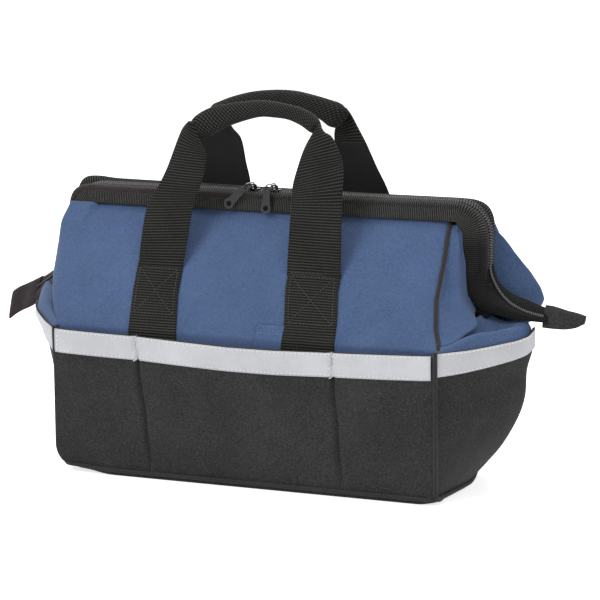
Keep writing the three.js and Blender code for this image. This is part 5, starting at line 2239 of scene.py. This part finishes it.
@dataclass(frozen=True)
class Studio:
    """The pale floor, the white surround, soft lamps and the camera."""

    camera_place: Point = (1.1820, -2.5804, 0.5911)
    camera_aim: Point = (0.0, 0.0, 0.170)
    lens: float = 173.6
    shift: tuple[float, float] = (0.0397, 0.0055)
    sensor_width: float = 36.0
    view_end: float = 100.0
    surround_light: float = 0.36
    floor_glow: float = 0.74
    floor_reach: float = 30.0
    lamps: tuple[Lamp, ...] = (
        Lamp("key_lamp", (-1.4, -2.6, 2.6), 60.0, 1.8),
        Lamp("fill_lamp", (2.8, -1.6, 1.5), 23.0, 2.2),
        Lamp("top_lamp", (0.2, 0.4, 3.0), 40.0, 2.0),
        Lamp("back_lamp", (-1.0, 2.6, 1.8), 24.0, 2.0),
    )

    def build_world(self) -> None:
        """Makes the even light all round, which the camera sees as white."""
        world = bpy.data.worlds.new("surround")
        bpy.context.scene.world = world
        world.use_nodes = True
        tree = world.node_tree
        tree.nodes.clear()
        lit = tree.nodes.new("ShaderNodeBackground")
        lit.inputs["Color"].default_value = (1.0, 1.0, 1.0, 1.0)
        lit.inputs["Strength"].default_value = self.surround_light
        seen = tree.nodes.new("ShaderNodeBackground")
        seen.inputs["Color"].default_value = (1.0, 1.0, 1.0, 1.0)
        seen.inputs["Strength"].default_value = 1.0
        self.switch(tree, lit.outputs[0], seen.outputs[0], "ShaderNodeOutputWorld")

    def switch(
        self,
        tree: bpy.types.NodeTree,
        lit: bpy.types.NodeSocket,
        seen: bpy.types.NodeSocket,
        output: str,
    ) -> None:
        """Shows one shader to the camera and in reflections, and another to all other rays.

        Args:
            tree: The node tree.
            lit: What lights the bag.
            seen: What the camera, metal and glass see.
            output: The kind of output node.
        """
        path = tree.nodes.new("ShaderNodeLightPath")
        mix = tree.nodes.new("ShaderNodeMixShader")
        both = tree.nodes.new("ShaderNodeMath")
        both.operation = "MAXIMUM"
        three = tree.nodes.new("ShaderNodeMath")
        three.operation = "MAXIMUM"
        end = tree.nodes.new(output)
        tree.links.new(path.outputs["Is Camera Ray"], both.inputs[0])
        tree.links.new(path.outputs["Is Glossy Ray"], both.inputs[1])
        tree.links.new(both.outputs[0], three.inputs[0])
        tree.links.new(path.outputs["Is Transmission Ray"], three.inputs[1])
        tree.links.new(three.outputs[0], mix.inputs["Fac"])
        tree.links.new(lit, mix.inputs[1])
        tree.links.new(seen, mix.inputs[2])
        tree.links.new(mix.outputs[0], end.inputs["Surface"])

    def build_floor(self) -> None:
        """Makes the floor, which reads white but keeps the bag's shadow."""
        mesh = bpy.data.meshes.new("floor")
        reach = self.floor_reach
        corners = [(-reach, -reach, 0), (reach, -reach, 0), (reach, reach, 0), (-reach, reach, 0)]
        mesh.from_pydata(corners, [], [(0, 1, 2, 3)])
        floor = bpy.data.objects.new("floor", mesh)
        bpy.context.scene.collection.objects.link(floor)
        board = Board("floor_paper")
        tree = board.tree
        grain = board.speckle(board.solid_places(), 3.0, 2.0)
        board.colour(grain, [(0.3, "e6e7e9"), (0.7, "ecedef")])
        board.surface(0.9)
        glow = tree.nodes.new("ShaderNodeEmission")
        glow.inputs["Strength"].default_value = self.floor_glow
        total = tree.nodes.new("ShaderNodeAddShader")
        tree.links.new(board.shader.outputs[0], total.inputs[0])
        tree.links.new(glow.outputs[0], total.inputs[1])
        tree.nodes.remove(tree.nodes["Material Output"])
        plain = board.shader.outputs[0]
        self.switch(tree, plain, total.outputs[0], "ShaderNodeOutputMaterial")
        mesh.materials.append(board.material)

    def build_camera(self) -> None:
        """Makes the camera at the photograph's viewing angle."""
        data = bpy.data.cameras.new("camera")
        data.lens = self.lens
        data.sensor_width = self.sensor_width
        data.shift_x, data.shift_y = self.shift
        data.clip_end = self.view_end
        obj = bpy.data.objects.new("camera", data)
        stand(obj, self.camera_place, self.camera_aim)
        bpy.context.scene.camera = obj

    def build(self) -> None:
        """Makes the whole studio."""
        bpy.context.scene.view_settings.view_transform = "Standard"
        self.build_world()
        self.build_floor()
        for lamp in self.lamps:
            lamp.build()
        self.build_camera()


def main() -> None:
    """Builds the studio and every sub-assembly in order."""
    logging.basicConfig(level=logging.INFO, format="%(name)s: %(message)s")
    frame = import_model()
    nodes = frame["nodes"]
    Studio().build()
    finishes = Finishes.make()
    lower = LowerBody(finishes)
    lower.build()
    upper = UpperPanels(finishes)
    upper.build()
    gussets = Gussets(finishes, panels=upper, lower=lower)
    gussets.build()
    handles = Handles(finishes)
    handles.build()
    mouth = MouthFrame(finishes)
    mouth.build(nodes)
    tails = Tails(finishes)
    tails.build(nodes)
    sliders = Sliders(finishes)
    sliders.build(nodes)
    for assembly in (lower, upper, gussets, handles, mouth, tails, sliders):
        for name in assembly.made:
            log.info("%s: %s", type(assembly).__name__, name)
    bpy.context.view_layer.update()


if __name__ == "__main__":
    main()
